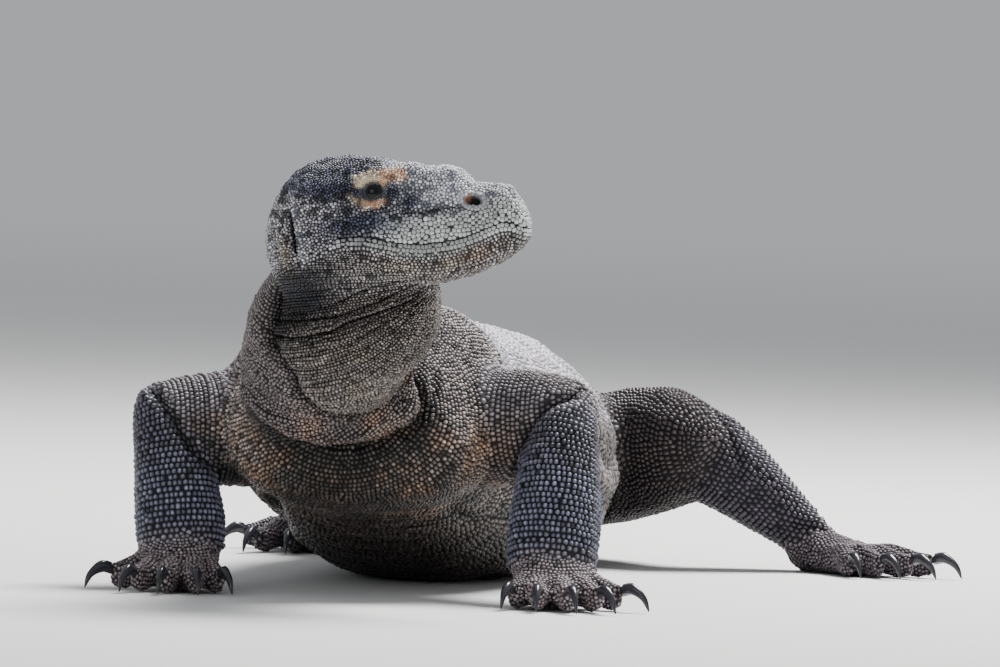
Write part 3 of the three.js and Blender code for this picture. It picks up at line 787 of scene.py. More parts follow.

# head: dark crown, pale snout and lips; the snout's white tops are partly a painted sheen
skull = blurred(headMask, 3)
jawTone = blurred(headMask, 24)
lay("temple", skull * smoothstep(0.35, 0.95, blurred(headMask, 110) + 0.24 * blotch + 0.10 * fleck))
crownEdge = 0.020 + 0.16 * np.maximum(back - 0.09, 0)
onCrown = skull * smoothstep(crownEdge - 0.008, crownEdge + 0.010, up)
lay("crown", onCrown)
# pale snout top, brightened as a painted sheen
lay("snoutAndSheen", onCrown * smoothstep(0.118, 0.088, back) * (0.85 + 0.30 * blotch))
lay("snoutAndSheen", skull * smoothstep(0.085, 0.060, back) * smoothstep(-0.012, -0.020, drop) * 0.45)
lay("snoutAndSheen", skull * smoothstep(0.030, 0.012, back) * smoothstep(0.0, -0.006, drop) * 0.6)
lipZone = skull * smoothstep(0.118, 0.100, back) * within(drop, -0.024, -0.016, 0.010, 0.014)
lay("lip", lipZone)
lay("jaw", jawTone * smoothstep(0.007, 0.014, drop))
lowerLip = smoothstep(0.138, 0.118, back) * within(drop, 0.0, 0.001, 0.0070, 0.0110)
lay("lowerLip", skull * lowerLip * smoothstep(0.020, 0.040, back) * 0.9)
lay("straw", skull * spot(back - 0.080, drop - 0.018, 0.030, 0.006) * smoothstep(-0.7, 0.5, blotch) * 0.8)
lay("tan", skull * spot(back - 0.035, drop - 0.015, 0.014, 0.006) * 0.45)
lay("mudAndShade", skull * spot(back - 0.010, drop - 0.010, 0.016, 0.010) * smoothstep(-0.2, 0.9, fleck) * 0.8)

# ink behind the jaw and under and behind the eye; painted shade in the hollows before and just behind the eye
# and along the groove
headAndNeck = blurred(headMask | neckMask, 4)
lay("deepInkAndShade", headAndNeck * spot(back - 0.172, up + 0.038, 0.022, 0.021) * 1.4)
lay("deepInkAndShade", headAndNeck * spot(back - 0.150, up + 0.030, 0.016, 0.009) * 0.6)
inkAndHollowShade = [  # tone, behind and above the eye, slope, half length, half height, strength
    ("inkAndShade", 0.010, -0.021, 0.10, 0.028, 0.0105, 1.25),
    ("inkAndShade", 0.026, 0.005, 0.0, 0.020, 0.0085, 1.1),
    # painted shade in the two hollows before the eye
    ("inkAndShade", -0.0270, -0.007, 0.0, 0.007, 0.010, 1.1),
    ("inkAndShade", -0.0150, 0.001, 0.0, 0.007, 0.007, 1.1),
    # painted shade in the hollow just behind the eye
    ("deepInkAndShade", 0.0165, 0.003, 0.0, 0.0070, 0.0060, 1.0),
]
onSide = skull * atSide
for tone, behind, over, slope, long, high, strength in inkAndHollowShade:
    lay(tone, onSide * spot(b - behind, u - over + slope * b, long, high) * strength)
# painted shade along the groove from the nostril
lay("deepInkAndShade", skull * groove * 0.8)

# the tan and cream patches over and under the eye, with ragged edges and dark specks
ragged = 0.30 * fleck + 0.20 * grain(co, 0.004, 17)
brow = np.hypot((b + 0.0070) / 0.0205, (u - 0.0110 + 0.10 * b) / 0.0062) + ragged
under = np.hypot((b - 0.0010) / 0.0115, (u + 0.0080 - 28 * b ** 2) / 0.0030) + ragged
lay("brow", onSide * smoothstep(1.12, 0.88, brow))
lay("cream", onSide * smoothstep(1.25, 0.9, brow) * smoothstep(-0.010, 0.0, b + 0.5 * (u - 0.012)) * 0.75)
lay("brow", onSide * smoothstep(1.15, 0.90, under) * 0.85)
lay("cream", onSide * smoothstep(1.25, 0.90, under) * smoothstep(-0.002, 0.010, b) * 0.6)
specks = smoothstep(0.22, 0.60, grain(co, 0.0040, 15))
marked = np.maximum(smoothstep(1.25, 1.0, under), smoothstep(1.25, 1.0, brow))
lay("mudAndShade", onSide * marked * specks * 0.85)

# rings round the eye and nostril, marks by the ear; painted shade in the nostril's pit, the ear's slit and
# along the mouth line
lay("deepInkAndShade", skull * smoothstep(1.60, 1.40, openings) * 0.75)
lay("lidEdge", skull * smoothstep(1.28, 1.18, openings))
lay("deepInkAndShade", skull * smoothstep(1.12, 1.04, openings) * 0.9)
lay("rim", skull * smoothstep(2.1, 1.7, around) * 0.9)
# painted shade in the nostril's pit
lay("inkAndShade", skull * smoothstep(1.0, 0.75, around))
slant = nostril["tilt"]
inward = (back - nostril["back"]) * math.cos(slant) + (up - nostril["up"]) * math.sin(slant)
lay("brow", skull * smoothstep(1.25, 0.9, around) * smoothstep(0.0015, 0.0035, inward) * 0.9)
lay("straw", skull * spot(e - 0.010, h + 0.012, 0.006, 0.014) * 0.7)
lay("snoutAndSheen", skull * bell(e + 0.0062, 0.0030) * beside * within(h, -0.028, -0.016, 0.015, 0.030) * 0.5)
# painted shade in the ear's slit
lay("deepInkAndShade", inEar * bell(e, ear["wide"] * 0.9))
# painted shade along the mouth line
lay("inkAndShade", inMouth * bell(drop, 0.0006) * 0.6)

# how likely a scale is to be black, more so in clumps
blackScales = {"anywhere": 0.06, "clumps": 0.22, "head": 0.05, "headClumps": 0.45, "chest": 0.30, "jaw": 0.25}
clump = smoothstep(0.0, 0.9, grain(co, 0.006, 41))
speckle = blackScales["anywhere"] + blackScales["clumps"] * clump
onHead = blackScales["head"] + blackScales["headClumps"] * clump
speckle += skull * smoothstep(0.0, 0.012, -drop) * onHead
speckle += front * blackScales["chest"] * clump
speckle += jawTone * smoothstep(0.008, 0.014, drop) * blackScales["jaw"] * clump
speckle *= (1 - 0.8 * smoothstep(1.3, 1.0, brow) * atSide) * (1 - lowerLip * skull) * (1 - 0.6 * lipZone)
paint = relax(paint.reshape(len(co), 6), 2, 0.5).reshape(len(co), 2, 3)
shading = {"patches": 0.12, "blotches": 0.14, "creaseShade": 0.84}  # how much the patches and blotches lighten or darken, and how dark the painted shade in creases and hollows makes the colour
paint *= (1 + shading["patches"] * patches + shading["blotches"] * blotch)[:, None, None]
# painted shade in creases and hollows
paint *= (1 - shading["creaseShade"] * paintedShade)[:, None, None]
report("markings")


def tinted(obj, colours):
    # one colour per vertex, linear
    layer = obj.data.color_attributes.new("tint", "FLOAT_COLOR", "POINT")
    rgba = np.ones((len(colours), 4), np.float32)
    rgba[:, :3] = np.clip(colours, 0, 1)
    layer.data.foreach_set("color", rgba.ravel())


skin = newObject("skin", co, tri)
tinted(skin, paint[:, 1] * 0.9 + paint[:, 0] * 0.03)
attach(skin, "root")
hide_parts(*flesh)

# rows of scales
triNormal = np.cross(co[tri[:, 1]] - co[tri[:, 0]], co[tri[:, 2]] - co[tri[:, 0]])
triArea = np.linalg.norm(triNormal, axis=1) / 2
triNormal = norm(triNormal)


def gradient(field):
    a, b, c = co[tri[:, 0]], co[tri[:, 1]], co[tri[:, 2]]
    twice = 2 * triArea[:, None] + 1e-18
    grad = (field[tri[:, 0], None] * np.cross(triNormal, c - b)
            + field[tri[:, 1], None] * np.cross(triNormal, a - c)
            + field[tri[:, 2], None] * np.cross(triNormal, b - a)) / twice
    out = np.zeros((len(co), 3))
    weight = np.zeros(len(co))
    for k in range(3):
        weight += np.bincount(tri[:, k], triArea, len(co))
        for axis in range(3):
            out[:, axis] += np.bincount(tri[:, k], triArea * grad[:, axis], len(co))
    return relax(out / (weight[:, None] + 1e-18), 2, 0.5)


levelSpan = 8192  # room for the numbers of the level lines in a key


def rowsOn(mask, field, pitch, across, levels=None):
    # Scales along the level lines of a field, about `pitch` between rows and `across` along them. Lines lie
    # at half the pitch; where they crowd or spread, fewer or more of them are used.
    faces = tri[mask[tri].all(axis=1)]
    if levels is None:
        steep = np.maximum(np.linalg.norm(gradient(field), axis=1), 1e-3)
        step = float(np.median((pitch * steep)[mask])) / 2
        value = field / step
    else:
        step, steep = 1.0, np.ones(len(co))
        marks = np.arange(len(levels))
        value = np.interp(field, levels, marks)
        value = value + np.minimum(field - levels[0], 0) * 500 + np.maximum(field - levels[-1], 0) * 500
    value = value + 1.234e-5  # so that no line runs through a vertex
    f = value[faces]
    low, high = np.ceil(f.min(1)).astype(int), np.floor(f.max(1)).astype(int)
    count = np.maximum(high - low + 1, 0)
    which = np.repeat(np.arange(len(faces)), count)
    level = np.repeat(low, count) + (np.arange(count.sum()) - np.repeat(np.cumsum(count) - count, count))
    if levels is not None:
        used = (level >= 0) & (level < len(levels))
        which, level = which[used], level[used]
    ends = []
    for i, j in ((0, 1), (1, 2), (2, 0)):
        a, b = faces[which, i], faces[which, j]
        crossing = (value[a] < level) != (value[b] < level)
        pair = np.minimum(a, b).astype(np.int64) * len(co) + np.maximum(a, b)
        key = pair * levelSpan + (level + levelSpan // 2)
        ends.append(np.where(crossing, key, -1))
    ends = np.array(ends)
    ends = ends[:, (ends >= 0).sum(0) == 2]
    columns = np.arange(ends.shape[1])
    first = np.argmax(ends >= 0, axis=0)
    second = 2 - np.argmax(ends[::-1] >= 0, axis=0)
    ends = np.concatenate([ends[first, columns], ends[second, columns]])
    keys, index = np.unique(ends, return_inverse=True)
    links = [[] for _ in keys]
    for p, q in zip(index[:len(columns)].tolist(), index[len(columns):].tolist()):
        links[p].append(q)
        links[q].append(p)
    levelOf = (keys % levelSpan - levelSpan // 2).astype(int)
    pair = keys // levelSpan
    lo, hi = (pair // len(co)).astype(int), (pair % len(co)).astype(int)
    vl, vh = value[lo] - levelOf, value[hi] - levelOf
    t = np.clip(vl / np.where(np.abs(vl - vh) < 1e-12, 1, vl - vh), 0, 1)[:, None]
    crossed = co[lo] * (1 - t) + co[hi] * t
    local = np.stack([steep, pitch, across], 1)
    local = local[lo] * (1 - t) + local[hi] * t
    seen = np.zeros(len(keys), bool)
    out = []
    for start in [i for i in range(len(keys)) if len(links[i]) == 1] + list(range(len(keys))):
        if seen[start]:
            continue
        chain = [start]
        seen[start] = True
        while True:
            ahead = [n for n in links[chain[-1]] if not seen[n]]
            if not ahead:
                break
            seen[ahead[0]] = True
            chain.append(ahead[0])
        closed = len(chain) > 3 and start in links[chain[-1]]
        if closed:
            chain.append(start)
        if len(chain) < 3:
            continue
        chain = np.array(chain)
        k = int(levelOf[start])
        at = crossed[chain]
        wide = local[chain, 2]
        run = np.linalg.norm(np.diff(at, axis=0), axis=1)
        weighed = np.concatenate([[0], np.cumsum(run / ((wide[1:] + wide[:-1]) / 2))])
        total = weighed[-1]
        if total < 0.7:
            continue
        if levels is None:
            rowGap = step / local[chain, 0]
            stride = 2.0 ** np.clip(np.round(np.log2(local[chain, 1] / rowGap)), 0, 4)
        else:
            rowGap, stride = local[chain, 1], np.ones(len(chain))
        number = max(int(round(total)), 1)
        stagger = 0.5 * ((k // max(int(np.median(stride)), 1)) % 2)
        uneven = 0.15 * rng.standard_normal(number)
        place = (np.arange(number) + (stagger if closed else 0.25 + stagger) + uneven) * total / number
        place = place[(place > 0) & (place < total)]
        keep = np.mod(k, np.round(np.interp(place, weighed, stride))) < 0.5
        place = place[keep]
        if not len(place):
            continue
        p = np.stack([np.interp(place, weighed, at[:, c]) for c in range(3)], 1)
        gapHere = np.interp(place, weighed, rowGap * stride)
        wideHere = np.interp(place, weighed, wide) * total / number
        out.append(np.concatenate([p, gapHere[:, None], wideHere[:, None]], 1))
    return np.concatenate(out) if out else np.zeros((0, 5))


# the ways a scale is drawn. rank: who stays where two meet; height: dome, to its half width; square: 2 is
# an oval; tip: leaning back; inner: how wide its bright top is; shoulder: how bright its rim is; vary: how
# unlike each other they are
styleKeys = ("rank", "height", "square", "sides", "tip", "inner", "shoulder", "vary")
styles = {
    "lip": (0, 0.22, 3.2, 10, 0.0, 0.82, 0.95, 0.06),
    "lid": (1, 0.50, 2.2, 8, 0.0, 0.70, 0.75, 0.12),
    "rim": (1, 0.16, 2.8, 8, 0.0, 0.80, 0.90, 0.06),
    "jaw": (2, 0.60, 2.4, 7, 0.15, 0.66, 0.50, 0.38),
    "throat": (3, 0.75, 2.2, 7, 0.15, 0.64, 0.48, 0.36),
    "nape": (3, 0.80, 2.4, 7, 0.25, 0.66, 0.55, 0.22),
    "arm": (4, 0.70, 2.2, 8, 0.22, 0.56, 0.50, 0.26),
    "trunk": (5, 0.55, 2.4, 7, 0.25, 0.66, 0.62, 0.26),
    "chest": (5, 0.70, 2.3, 7, 0.25, 0.60, 0.48, 0.45),
    "foot": (6, 0.60, 2.2, 7, 0.25, 0.66, 0.60, 0.25),
    "skull": (7, 0.66, 2.3, 7, 0.1, 0.66, 0.52, 0.46),
    "cobble": (7, 0.36, 2.8, 8, 0.0, 0.78, 0.82, 0.18),
    "filler": (8, 0.50, 2.2, 6, 0.1, 0.66, 0.60, 0.26),
}
styleNames = list(styles)
styleNumber = {name: i for i, name in enumerate(styleNames)}


def styled(key, style):
    # one value of the style of each scale
    return np.array([styles[n][styleKeys.index(key)] for n in styleNames])[style]


# every scale: its place, its size down and across the body, and its style
placed = {"at": [], "down": [], "wide": [], "style": []}
pitchMap = np.full(len(co), 0.005)
lie = np.zeros((len(co), 3))


def addScales(style, at, down, wide):
    placed["at"].append(at)
    placed["down"].append(down)
    placed["wide"].append(wide)
    placed["style"].append(np.full(len(at), styleNumber[style]))


def addRows(style, mask, field, pitch, across, levels=None, flow=True):
    pitch = np.broadcast_to(pitch, len(co)).astype(float)
    across = np.broadcast_to(across, len(co)).astype(float)
    pitchMap[mask] = pitch[mask]
    if flow:
        lie[mask] = norm(gradient(field))[mask]
    rows = rowsOn(mask, field, pitch, across, levels)
    addScales(style, rows[:, :3], rows[:, 3], rows[:, 4])


scaleSize = {  # metres, down the body and, where it differs, across it
    "trunk": 0.0037, "flankMore": 0.0013, "tailLess": 0.0015,
    "upper_arm": 0.0041, "forearm": 0.0046, "thigh": 0.0046, "shank": 0.0050,
    "foot": (0.0031, 0.0032), "nape": (0.0029, 0.0033),
    "throat": 0.0024, "throatMore": 0.0004,
    "head": 0.0026, "templeLess": 0.0003, "crownLess": 0.0002, "lipMore": 0.0005,
    "lip": (0.0033, 0.0033), "jaw": (0.0028, 0.0030), "lid": (0.0015, 0.0016), "rim": (0.0026, 0.0030),
}
nearFold = (offNeck < 0.1) & (anyOf("chest") & (above > -0.001) & (collarOn > 0.3))
neckSkin = neckMask | nearFold
bag = neckSkin & (pouch < 0.0)
farBack = np.clip((reachOn - 0.6) / 0.9, 0, 1)
trunkPitch = (scaleSize["trunk"] + scaleSize["flankMore"] * smoothstep(-0.02, 0.16, reachOn)
              - scaleSize["tailLess"] * farBack)
forepart = anyOf("chest") & (reachOn < 0.03) & ~nearFold
addRows("chest", forepart, reachOn, trunkPitch, trunkPitch * 0.95)
addRows("trunk", trunkMask & ~nearFold & ~forepart, reachOn, trunkPitch, trunkPitch * 0.95)
flat = upright(co)
for name, path in limbPaths.items():
    size = scaleSize[name.rsplit("_", 1)[0]]
    addRows("arm", part[name], alongPath(flat, smoothPath(path))[0], size, size * 0.9)
for name, (x, y) in wrists.items():
    addRows("foot", part[name], np.hypot(flat[:, 0] - x, flat[:, 1] - y), *scaleSize["foot"])
report("rows on the trunk and legs")
throatSize = scaleSize["throat"] + scaleSize["throatMore"] * smoothstep(0.02, 0.09, ahead)
jowl = headMask & (drop > 0.0105) & (back > 0.088)
addRows("throat", bag | jowl, fan, throatSize, throatSize * 1.05)
addRows("nape", neckSkin & ~bag, upNeck, *scaleSize["nape"])
lie[headMask & ~jowl] = headTurn @ np.array([-1.0, 0, 0])
nearLip = smoothstep(0.022, 0.014, -drop) * smoothstep(0.120, 0.100, back) * (drop < 0)
headPitch = (scaleSize["head"] - scaleSize["templeLess"] * smoothstep(0.115, 0.145, back)
             - scaleSize["crownLess"] * onCrown + scaleSize["lipMore"] * nearLip)
pitchMap[headMask] = headPitch[headMask]


def addRings(style, mask, field, levels):
    # rows at given places, that leave the lie of the scales as it is
    addRows(style, mask, field, *scaleSize[style], levels=levels, flow=False)


underMouth = headMask & (back < mouthCorner - 0.004) & (drop > 0.0004) & (drop < 0.0085)
addRings("lip", underMouth, drop, [0.0022, 0.0052])
addRings("jaw", headMask & ~jowl & (drop > 0.0070), drop, None)
for name, centre in eyes.items():
    gap = np.where(np.linalg.norm(co - centre, axis=1) < 0.03, lidDistance(co, name), 9.0)
    addRings("lid", headMask & (gap > 1.3) & (gap < 2.4), gap, [1.42, 1.70, 1.99])
for sign in (-1, 1):
    rim = headMask & (left * sign > 0.01) & (around > 1.0) & (around < 2.2)
    addRings("rim", rim, around, [1.42, 1.95])
report("rows on the throat and face")


def nearestOn(surface, co, tri, points):
    # nearest place on a surface, its triangle and its weights there
    hits = [surface.find_nearest(Vector(p)) for p in points]
    at, face = np.array([h[0] for h in hits]), np.array([h[2] for h in hits])
    a, b, c = (co[tri[face, k]] for k in range(3))
    n = np.cross(b - a, c - a)
    area = (n * n).sum(1)
    wb = (np.cross(at - a, c - a) * n).sum(1) / area
    wc = (np.cross(b - a, at - a) * n).sum(1) / area
    return at, face, np.clip(np.stack([1 - wb - wc, wb, wc], 1), 0, 1)


def readSkin(values, face, weights):
    # what the skin's vertices say, at places inside its triangles
    weights = weights.reshape(len(face), 3, *([1] * (values.ndim - 1)))
    return (values[tri[face]] * weights).sum(1)


# scales are kept by the cell they lie in, so that none lands on another
spacing = {
    "cell": 0.0066,
    "rows": 0.62, "between": 0.76,  # the least distances, to the scales' size
    "tries": 6,  # for every place between the rows
    "apart": 1.04, "push": 0.2,  # how far these move apart in the end, and how fast
}
grid = {}


def cellOf(p):
    return tuple(int(math.floor(v / spacing["cell"])) for v in p)


def crowded(p, size, share):
    x, y, z = cellOf(p)
    for cell in product((x - 1, x, x + 1), (y - 1, y, y + 1), (z - 1, z, z + 1)):
        for q, other in grid.get(cell, ()):
            limit = share * (size + other) / 2
            if (p[0] - q[0]) ** 2 + (p[1] - q[1]) ** 2 + (p[2] - q[2]) ** 2 < limit * limit:
                return True
    return False


def sifted(points, sizes, order, share):
    # the scales that stay when none may land on another, in the given order
    points, sizes, kept = points.tolist(), sizes.tolist(), []
    for i in order:
        if not crowded(points[i], sizes[i], share):
            grid.setdefault(cellOf(points[i]), []).append((points[i], sizes[i]))
            kept.append(i)
    return np.array(kept)


at, down, wide, style = (np.concatenate(placed[key]) for key in ("at", "down", "wide", "style"))
byRank = np.argsort(styled("rank", style), kind="stable").tolist()
keep = sifted(at, np.sqrt(down * wide), byRank, spacing["rows"])
report(f"{len(at)} scales in rows, {len(keep)} kept")
at, down, wide, style = at[keep], down[keep], wide[keep], style[keep]

# the gaps, and all of the crown and cheeks, get scales in no rows
onMouthLine = headMask & (np.abs(drop) < 0.0007) & (inMouth > 0.5)
barred = (openings < 1.28) | (around < 1.15) | onMouthLine
bare = ~barred[tri].any(axis=1)
share = triArea * bare / pitchMap[tri].mean(1) ** 2
number = int(share.sum() * spacing["tries"])
chosen = rng.choice(len(tri), number, p=share / share.sum())
r1, r2 = np.sqrt(rng.random(number)), rng.random(number)
weights = np.stack([1 - r1, r1 * (1 - r2), r1 * r2], 1)
candidates = (co[tri[chosen]] * weights[:, :, None]).sum(1)
candidateSize = (pitchMap[tri[chosen]] * weights).sum(1)
fresh = sifted(candidates, candidateSize, range(number), spacing["between"])
extra, extraSize = candidates[fresh], candidateSize[fresh]
report(f"{len(fresh)} scales between the rows")

# neighbours push these apart a little
everything = np.concatenate([at, extra])
everySize = np.concatenate([np.sqrt(down * wide), extraSize])


def nearestTo(points, among, count):
    kd = KDTree(len(among))
    for i, p in enumerate(among.tolist()):
        kd.insert(p, i)
    kd.balance()
    return np.array([[found[1] for found in kd.find_n(p, count)] for p in points.tolist()])


for _ in range(3):
    close = nearestTo(extra, everything, 8)[:, 1:]
    for _ in range(4):
        apart = extra[:, None] - everything[close]
        d = np.linalg.norm(apart, axis=2)
        want = (extraSize[:, None] + everySize[close]) / 2 * spacing["apart"]
        lacking = np.maximum(want - d, 0)[..., None]
        extra = extra + (apart / (d[..., None] + 1e-9) * lacking * spacing["push"]).sum(1)
        everything[len(at):] = extra
skinTree = BVHTree.FromPolygons(co.tolist(), tri.tolist())
at, face, weights = nearestOn(skinTree, co, tri, everything)
down = np.concatenate([down, extraSize])
wide = np.concatenate([wide, extraSize])
inSkull = readSkin(headMask.astype(float), face, weights) > 0.5
style = np.concatenate([style, np.full(len(extra), styleNumber["filler"])])
style[(style == styleNumber["filler"]) & inSkull] = styleNumber["skull"]
onLips = readSkin(lipZone, face, weights) > 0.5
style[(style == styleNumber["skull"]) & onLips] = styleNumber["cobble"]
report(f"{len(at)} scales in all")

# which way each scale faces and lies, and its colours
up3 = norm(readSkin(normal, face, weights))
lieAt = readSkin(lie, face, weights)
lieAt = norm(lieAt - (lieAt * up3).sum(1, keepdims=True) * up3)
acrossAt = np.cross(up3, lieAt)
tint = readSkin(paint, face, weights)
dark = readSkin(speckle, face, weights)

# each scale spreads until it meets its neighbours
around8 = nearestTo(at, at, 9)[:, 1:]
away = at[around8] - at[:, None]
awayDown = (away * lieAt[:, None]).sum(2)
awayAcross = (away * acrossAt[:, None]).sum(2)
awayFar = np.hypot(awayDown, awayAcross) + 1e-9
loose = style >= styleNumber["skull"]  # those in no rows
ownSize = np.sqrt(down * wide)
between = np.linalg.norm(away, axis=2)
growth = {"least": 0.85, "most": 1.3}  # how small and how large those may become
grownSize = np.clip(between[:, :5].mean(1), growth["least"] * ownSize, growth["most"] * ownSize)
down = np.where(loose, grownSize, down)
wide = np.where(loose, grownSize, wide)
ownSize = np.sqrt(down * wide)
meeting = awayFar * ownSize[:, None] / (ownSize[:, None] + ownSize[around8])
report("neighbours found")


scaleShape = {
    "half": 0.58,  # half length and width of a scale that meets no other, to its size
    "loose": 1.06, "inRow": 0.98,  # how tightly scales in no rows, and in rows, meet their neighbours
    "even": 1.22,  # how far one in no rows may reach beyond its usual radius
    "sunk": 0.35,  # depth of its edge under the skin, to its height
    "uneven": 0.15,  # how unlike the heights are
    "blackFrom": 0.42, "blackOver": 0.35, "blackest": 0.88,  # where speckle turns a scale black
    "patch": 0.0015,  # half a scale's patch on the baked map
}


def outlineOf(chosen, angle, power):
    # how far each scale reaches in each direction
    cx, cy = np.cos(angle), np.sin(angle)
    x = np.sign(cx) * np.abs(cx) ** (2 / power)
    y = np.sign(cy) * np.abs(cy) ** (2 / power)
    rx, ry = down[chosen][:, None] * scaleShape["half"], wide[chosen][:, None] * scaleShape["half"]
    own = np.hypot(x * rx, y * ry)
    ux, uy = x * rx / own, y * ry / own
    reach = own
    for k in range(around8.shape[1]):
        facing = awayDown[chosen, k][:, None] * ux + awayAcross[chosen, k][:, None] * uy
        facing = facing / awayFar[chosen, k][:, None]
        limit = meeting[chosen, k][:, None] / np.maximum(facing, 0.2)
        reach = np.where(facing > 0.2, np.minimum(reach, limit), reach)
    snug = np.where(loose[chosen], scaleShape["loose"], scaleShape["inRow"])[:, None]
    usual = np.median(reach, axis=1, keepdims=True)
    reach = np.where(loose[chosen][:, None], np.minimum(reach, usual * scaleShape["even"]), reach) * snug
    return ux * reach, uy * reach, reach


# an unwrap of the body's own shape, for the scales' places on the baked map
coarse = remeshed("unwrapped", solidCo, solidTri, 0.011)
unwrapped = added("unwrapped", coarse)
bpy.context.view_layer.objects.active = unwrapped
unwrapped.select_set(True)
bpy.ops.object.mode_set(mode="EDIT")
bpy.ops.mesh.select_all(action="SELECT")
bpy.ops.mesh.quads_convert_to_tris()
bpy.ops.uv.smart_project(angle_limit=math.radians(66), island_margin=0.003)
bpy.ops.object.mode_set(mode="OBJECT")
wrapCo, wrapTri = meshArrays(coarse)
loops = np.empty(len(coarse.loop_triangles) * 3, np.int32)
coarse.loop_triangles.foreach_get("loops", loops)
uv = np.empty(len(coarse.loops) * 2, np.float32)
coarse.uv_layers.active.data.foreach_get("uv", uv)
wrapUv = uv.reshape(-1, 2)[loops.reshape(-1, 3)]
wrapTree = BVHTree.FromPolygons(wrapCo.tolist(), wrapTri.tolist())
_, hit, hitWeights = nearestOn(wrapTree, wrapCo, wrapTri, at)
rootUv = (wrapUv[hit] * hitWeights[:, :, None]).sum(1)
bpy.data.objects.remove(unwrapped)
report("unwrapped")


def drawScales(name, chosen, sides):
    # each scale is an outline sunk in the skin, a shoulder and a top
    count = len(chosen)
    keys = ("square", "height", "tip", "inner", "shoulder", "vary")
    power, tall, tip, inner, shoulder, vary = (styled(key, style[chosen])[:, None] for key in keys)
    angle = (np.arange(sides) * 2 * math.pi / sides + math.pi / sides)[None]
    x, y, reach = outlineOf(chosen, angle, power)
    narrow = np.sort(reach, axis=1)[:, :3].mean(1, keepdims=True)
    high = narrow * tall * (1 + scaleShape["uneven"] * rng.standard_normal((count, 1)))
    backward = x / (np.abs(x).max(1, keepdims=True) + 1e-9)
    domed = high * (np.sqrt(1 - inner ** 2) + tip * 0.4 * backward)
    lx = np.concatenate([x, x * inner + tip * narrow * 0.12, tip * narrow * 0.4], 1)
    ly = np.concatenate([y, y * inner, np.zeros((count, 1))], 1)
    lz = np.concatenate([-scaleShape["sunk"] * high + 0 * x, domed, high], 1)
    pos = (at[chosen][:, None] + lx[..., None] * lieAt[chosen][:, None]
           + ly[..., None] * acrossAt[chosen][:, None] + lz[..., None] * up3[chosen][:, None])
    verts = 2 * sides + 1
    i = np.arange(sides)
    j = (i + 1) % sides
    faces = [np.stack([i, j, sides + j], 1), np.stack([i, sides + j, sides + i], 1),
             np.stack([sides + i, sides + j, np.full(sides, 2 * sides)], 1)]
    faces = np.concatenate(faces)
    allFaces = (faces[None] + (np.arange(count) * verts)[:, None, None]).reshape(-1, 3)
    pos = pos.reshape(-1, 3)
    pos[:, 2] = np.maximum(pos[:, 2], 0.0001)
    obj = newObject(name, pos, allFaces)
    shade = np.exp(vary * rng.standard_normal((count, 1)))
    blackness = 1.6 * dark[chosen] + 0.22 * rng.standard_normal(count)
    blackened = (blackness - scaleShape["blackFrom"]) / scaleShape["blackOver"]
    blackened = np.clip(blackened, 0, scaleShape["blackest"])[:, None]
    deep = tint[chosen, 1]
    top = tint[chosen, 0] * shade * (1 - blackened) + deep * 1.4 * blackened
    level = np.concatenate([np.zeros((count, sides)), np.repeat(shoulder, sides, 1), np.ones((count, 1))], 1)
    tinted(obj, (deep[:, None] * (1 - level[..., None]) + top[:, None] * level[..., None]).reshape(-1, 3))
    ring = np.stack([np.cos(angle[0]), np.sin(angle[0])], 1)
    flat = np.concatenate([ring, ring * 0.75, [[0, 0]]])
    uvs = (rootUv[chosen][:, None] + flat[None] * scaleShape["patch"]).reshape(-1, 2)
    layer = obj.data.uv_layers.new(name="OFBake")
    layer.data.foreach_set("uv", uvs[allFaces.ravel()].astype(np.float32).ravel())
    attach(obj, "root")
    return obj


perCoat = 190000  # triangles in one piece of the coat, at most
coatPieces = []
order = np.argsort(at[:, 1], kind="stable")
sidesOf = styled("sides", style)
for group, inGroup, slotName in (("head", inSkull, "pale_scales"), ("body", ~inSkull, "hide")):
    for sides in sorted(set(sidesOf[inGroup].tolist())):
        members = order[(inGroup & (sidesOf == sides))[order]]
        perPiece = int(perCoat / (3 * sides))
        for k in range(0, len(members), perPiece):
            chosen = members[k:k + perPiece]
            name = f"scales_{group}_{sides}_{k // perPiece + 1}"
            coatPieces.append(drawScales(name, chosen, sides))
triangles = sum(len(p.data.polygons) for p in coatPieces)
report(f"{len(coatPieces)} coats of scales, {triangles} triangles, skin {len(tri)}")

finish = {  # roughness, specular level
    "skin": (0.70, 0.22),
    "scales": (0.38, 0.40),
    "claws": (0.17, 0.50),
    "eyes": (0.06, 0.30),
    "paper": (0.90, 0.10),
}
clawColour = (46, 46, 52)
irisStops = [  # towards the middle of the eye, colour
    (0.0, (12, 13, 17)), (0.74, (14, 16, 22)), (0.79, (27, 26, 30)), (0.88, (20, 21, 27)),
    (0.905, (4, 5, 8)), (1.0, (3, 4, 7))]


def newMaterial(name, surface):
    material = bpy.data.materials.new(name)
    material.use_nodes = True
    shader = material.node_tree.nodes["Principled BSDF"]
    roughness, specular = finish[surface]
    shader.inputs["Roughness"].default_value = roughness
    shader.inputs["Specular IOR Level"].default_value = specular
    return material, material.node_tree, shader.inputs


def hideMaterial(name, surface):
    material, nodeTree, inputs = newMaterial(name, surface)
    attribute = nodeTree.nodes.new("ShaderNodeAttribute")
    attribute.attribute_name = "tint"
    nodeTree.links.new(attribute.outputs["Color"], inputs["Base Color"])
    return material


skin.data.materials.append(hideMaterial("bareSkin", "skin"))
scaleMaterial = hideMaterial("scaleHorn", "scales")
for piece in coatPieces:
    piece.data.materials.append(scaleMaterial)


def rounded(node, levels):
    node.data.shade_smooth()
    weld = node.modifiers.new("weld", "WELD")
    weld.merge_threshold = 0.00002
    subdivision = node.modifiers.new("rounded", "SUBSURF")
    subdivision.levels = subdivision.render_levels = levels


clawMaterial, _, inputs = newMaterial("clawHorn", "claws")
inputs["Base Color"].default_value = (*linear(clawColour), 1)
for name, node in nodes.items():
    if "claw" in name:
        node.data.materials[0] = clawMaterial
        rounded(node, 2)


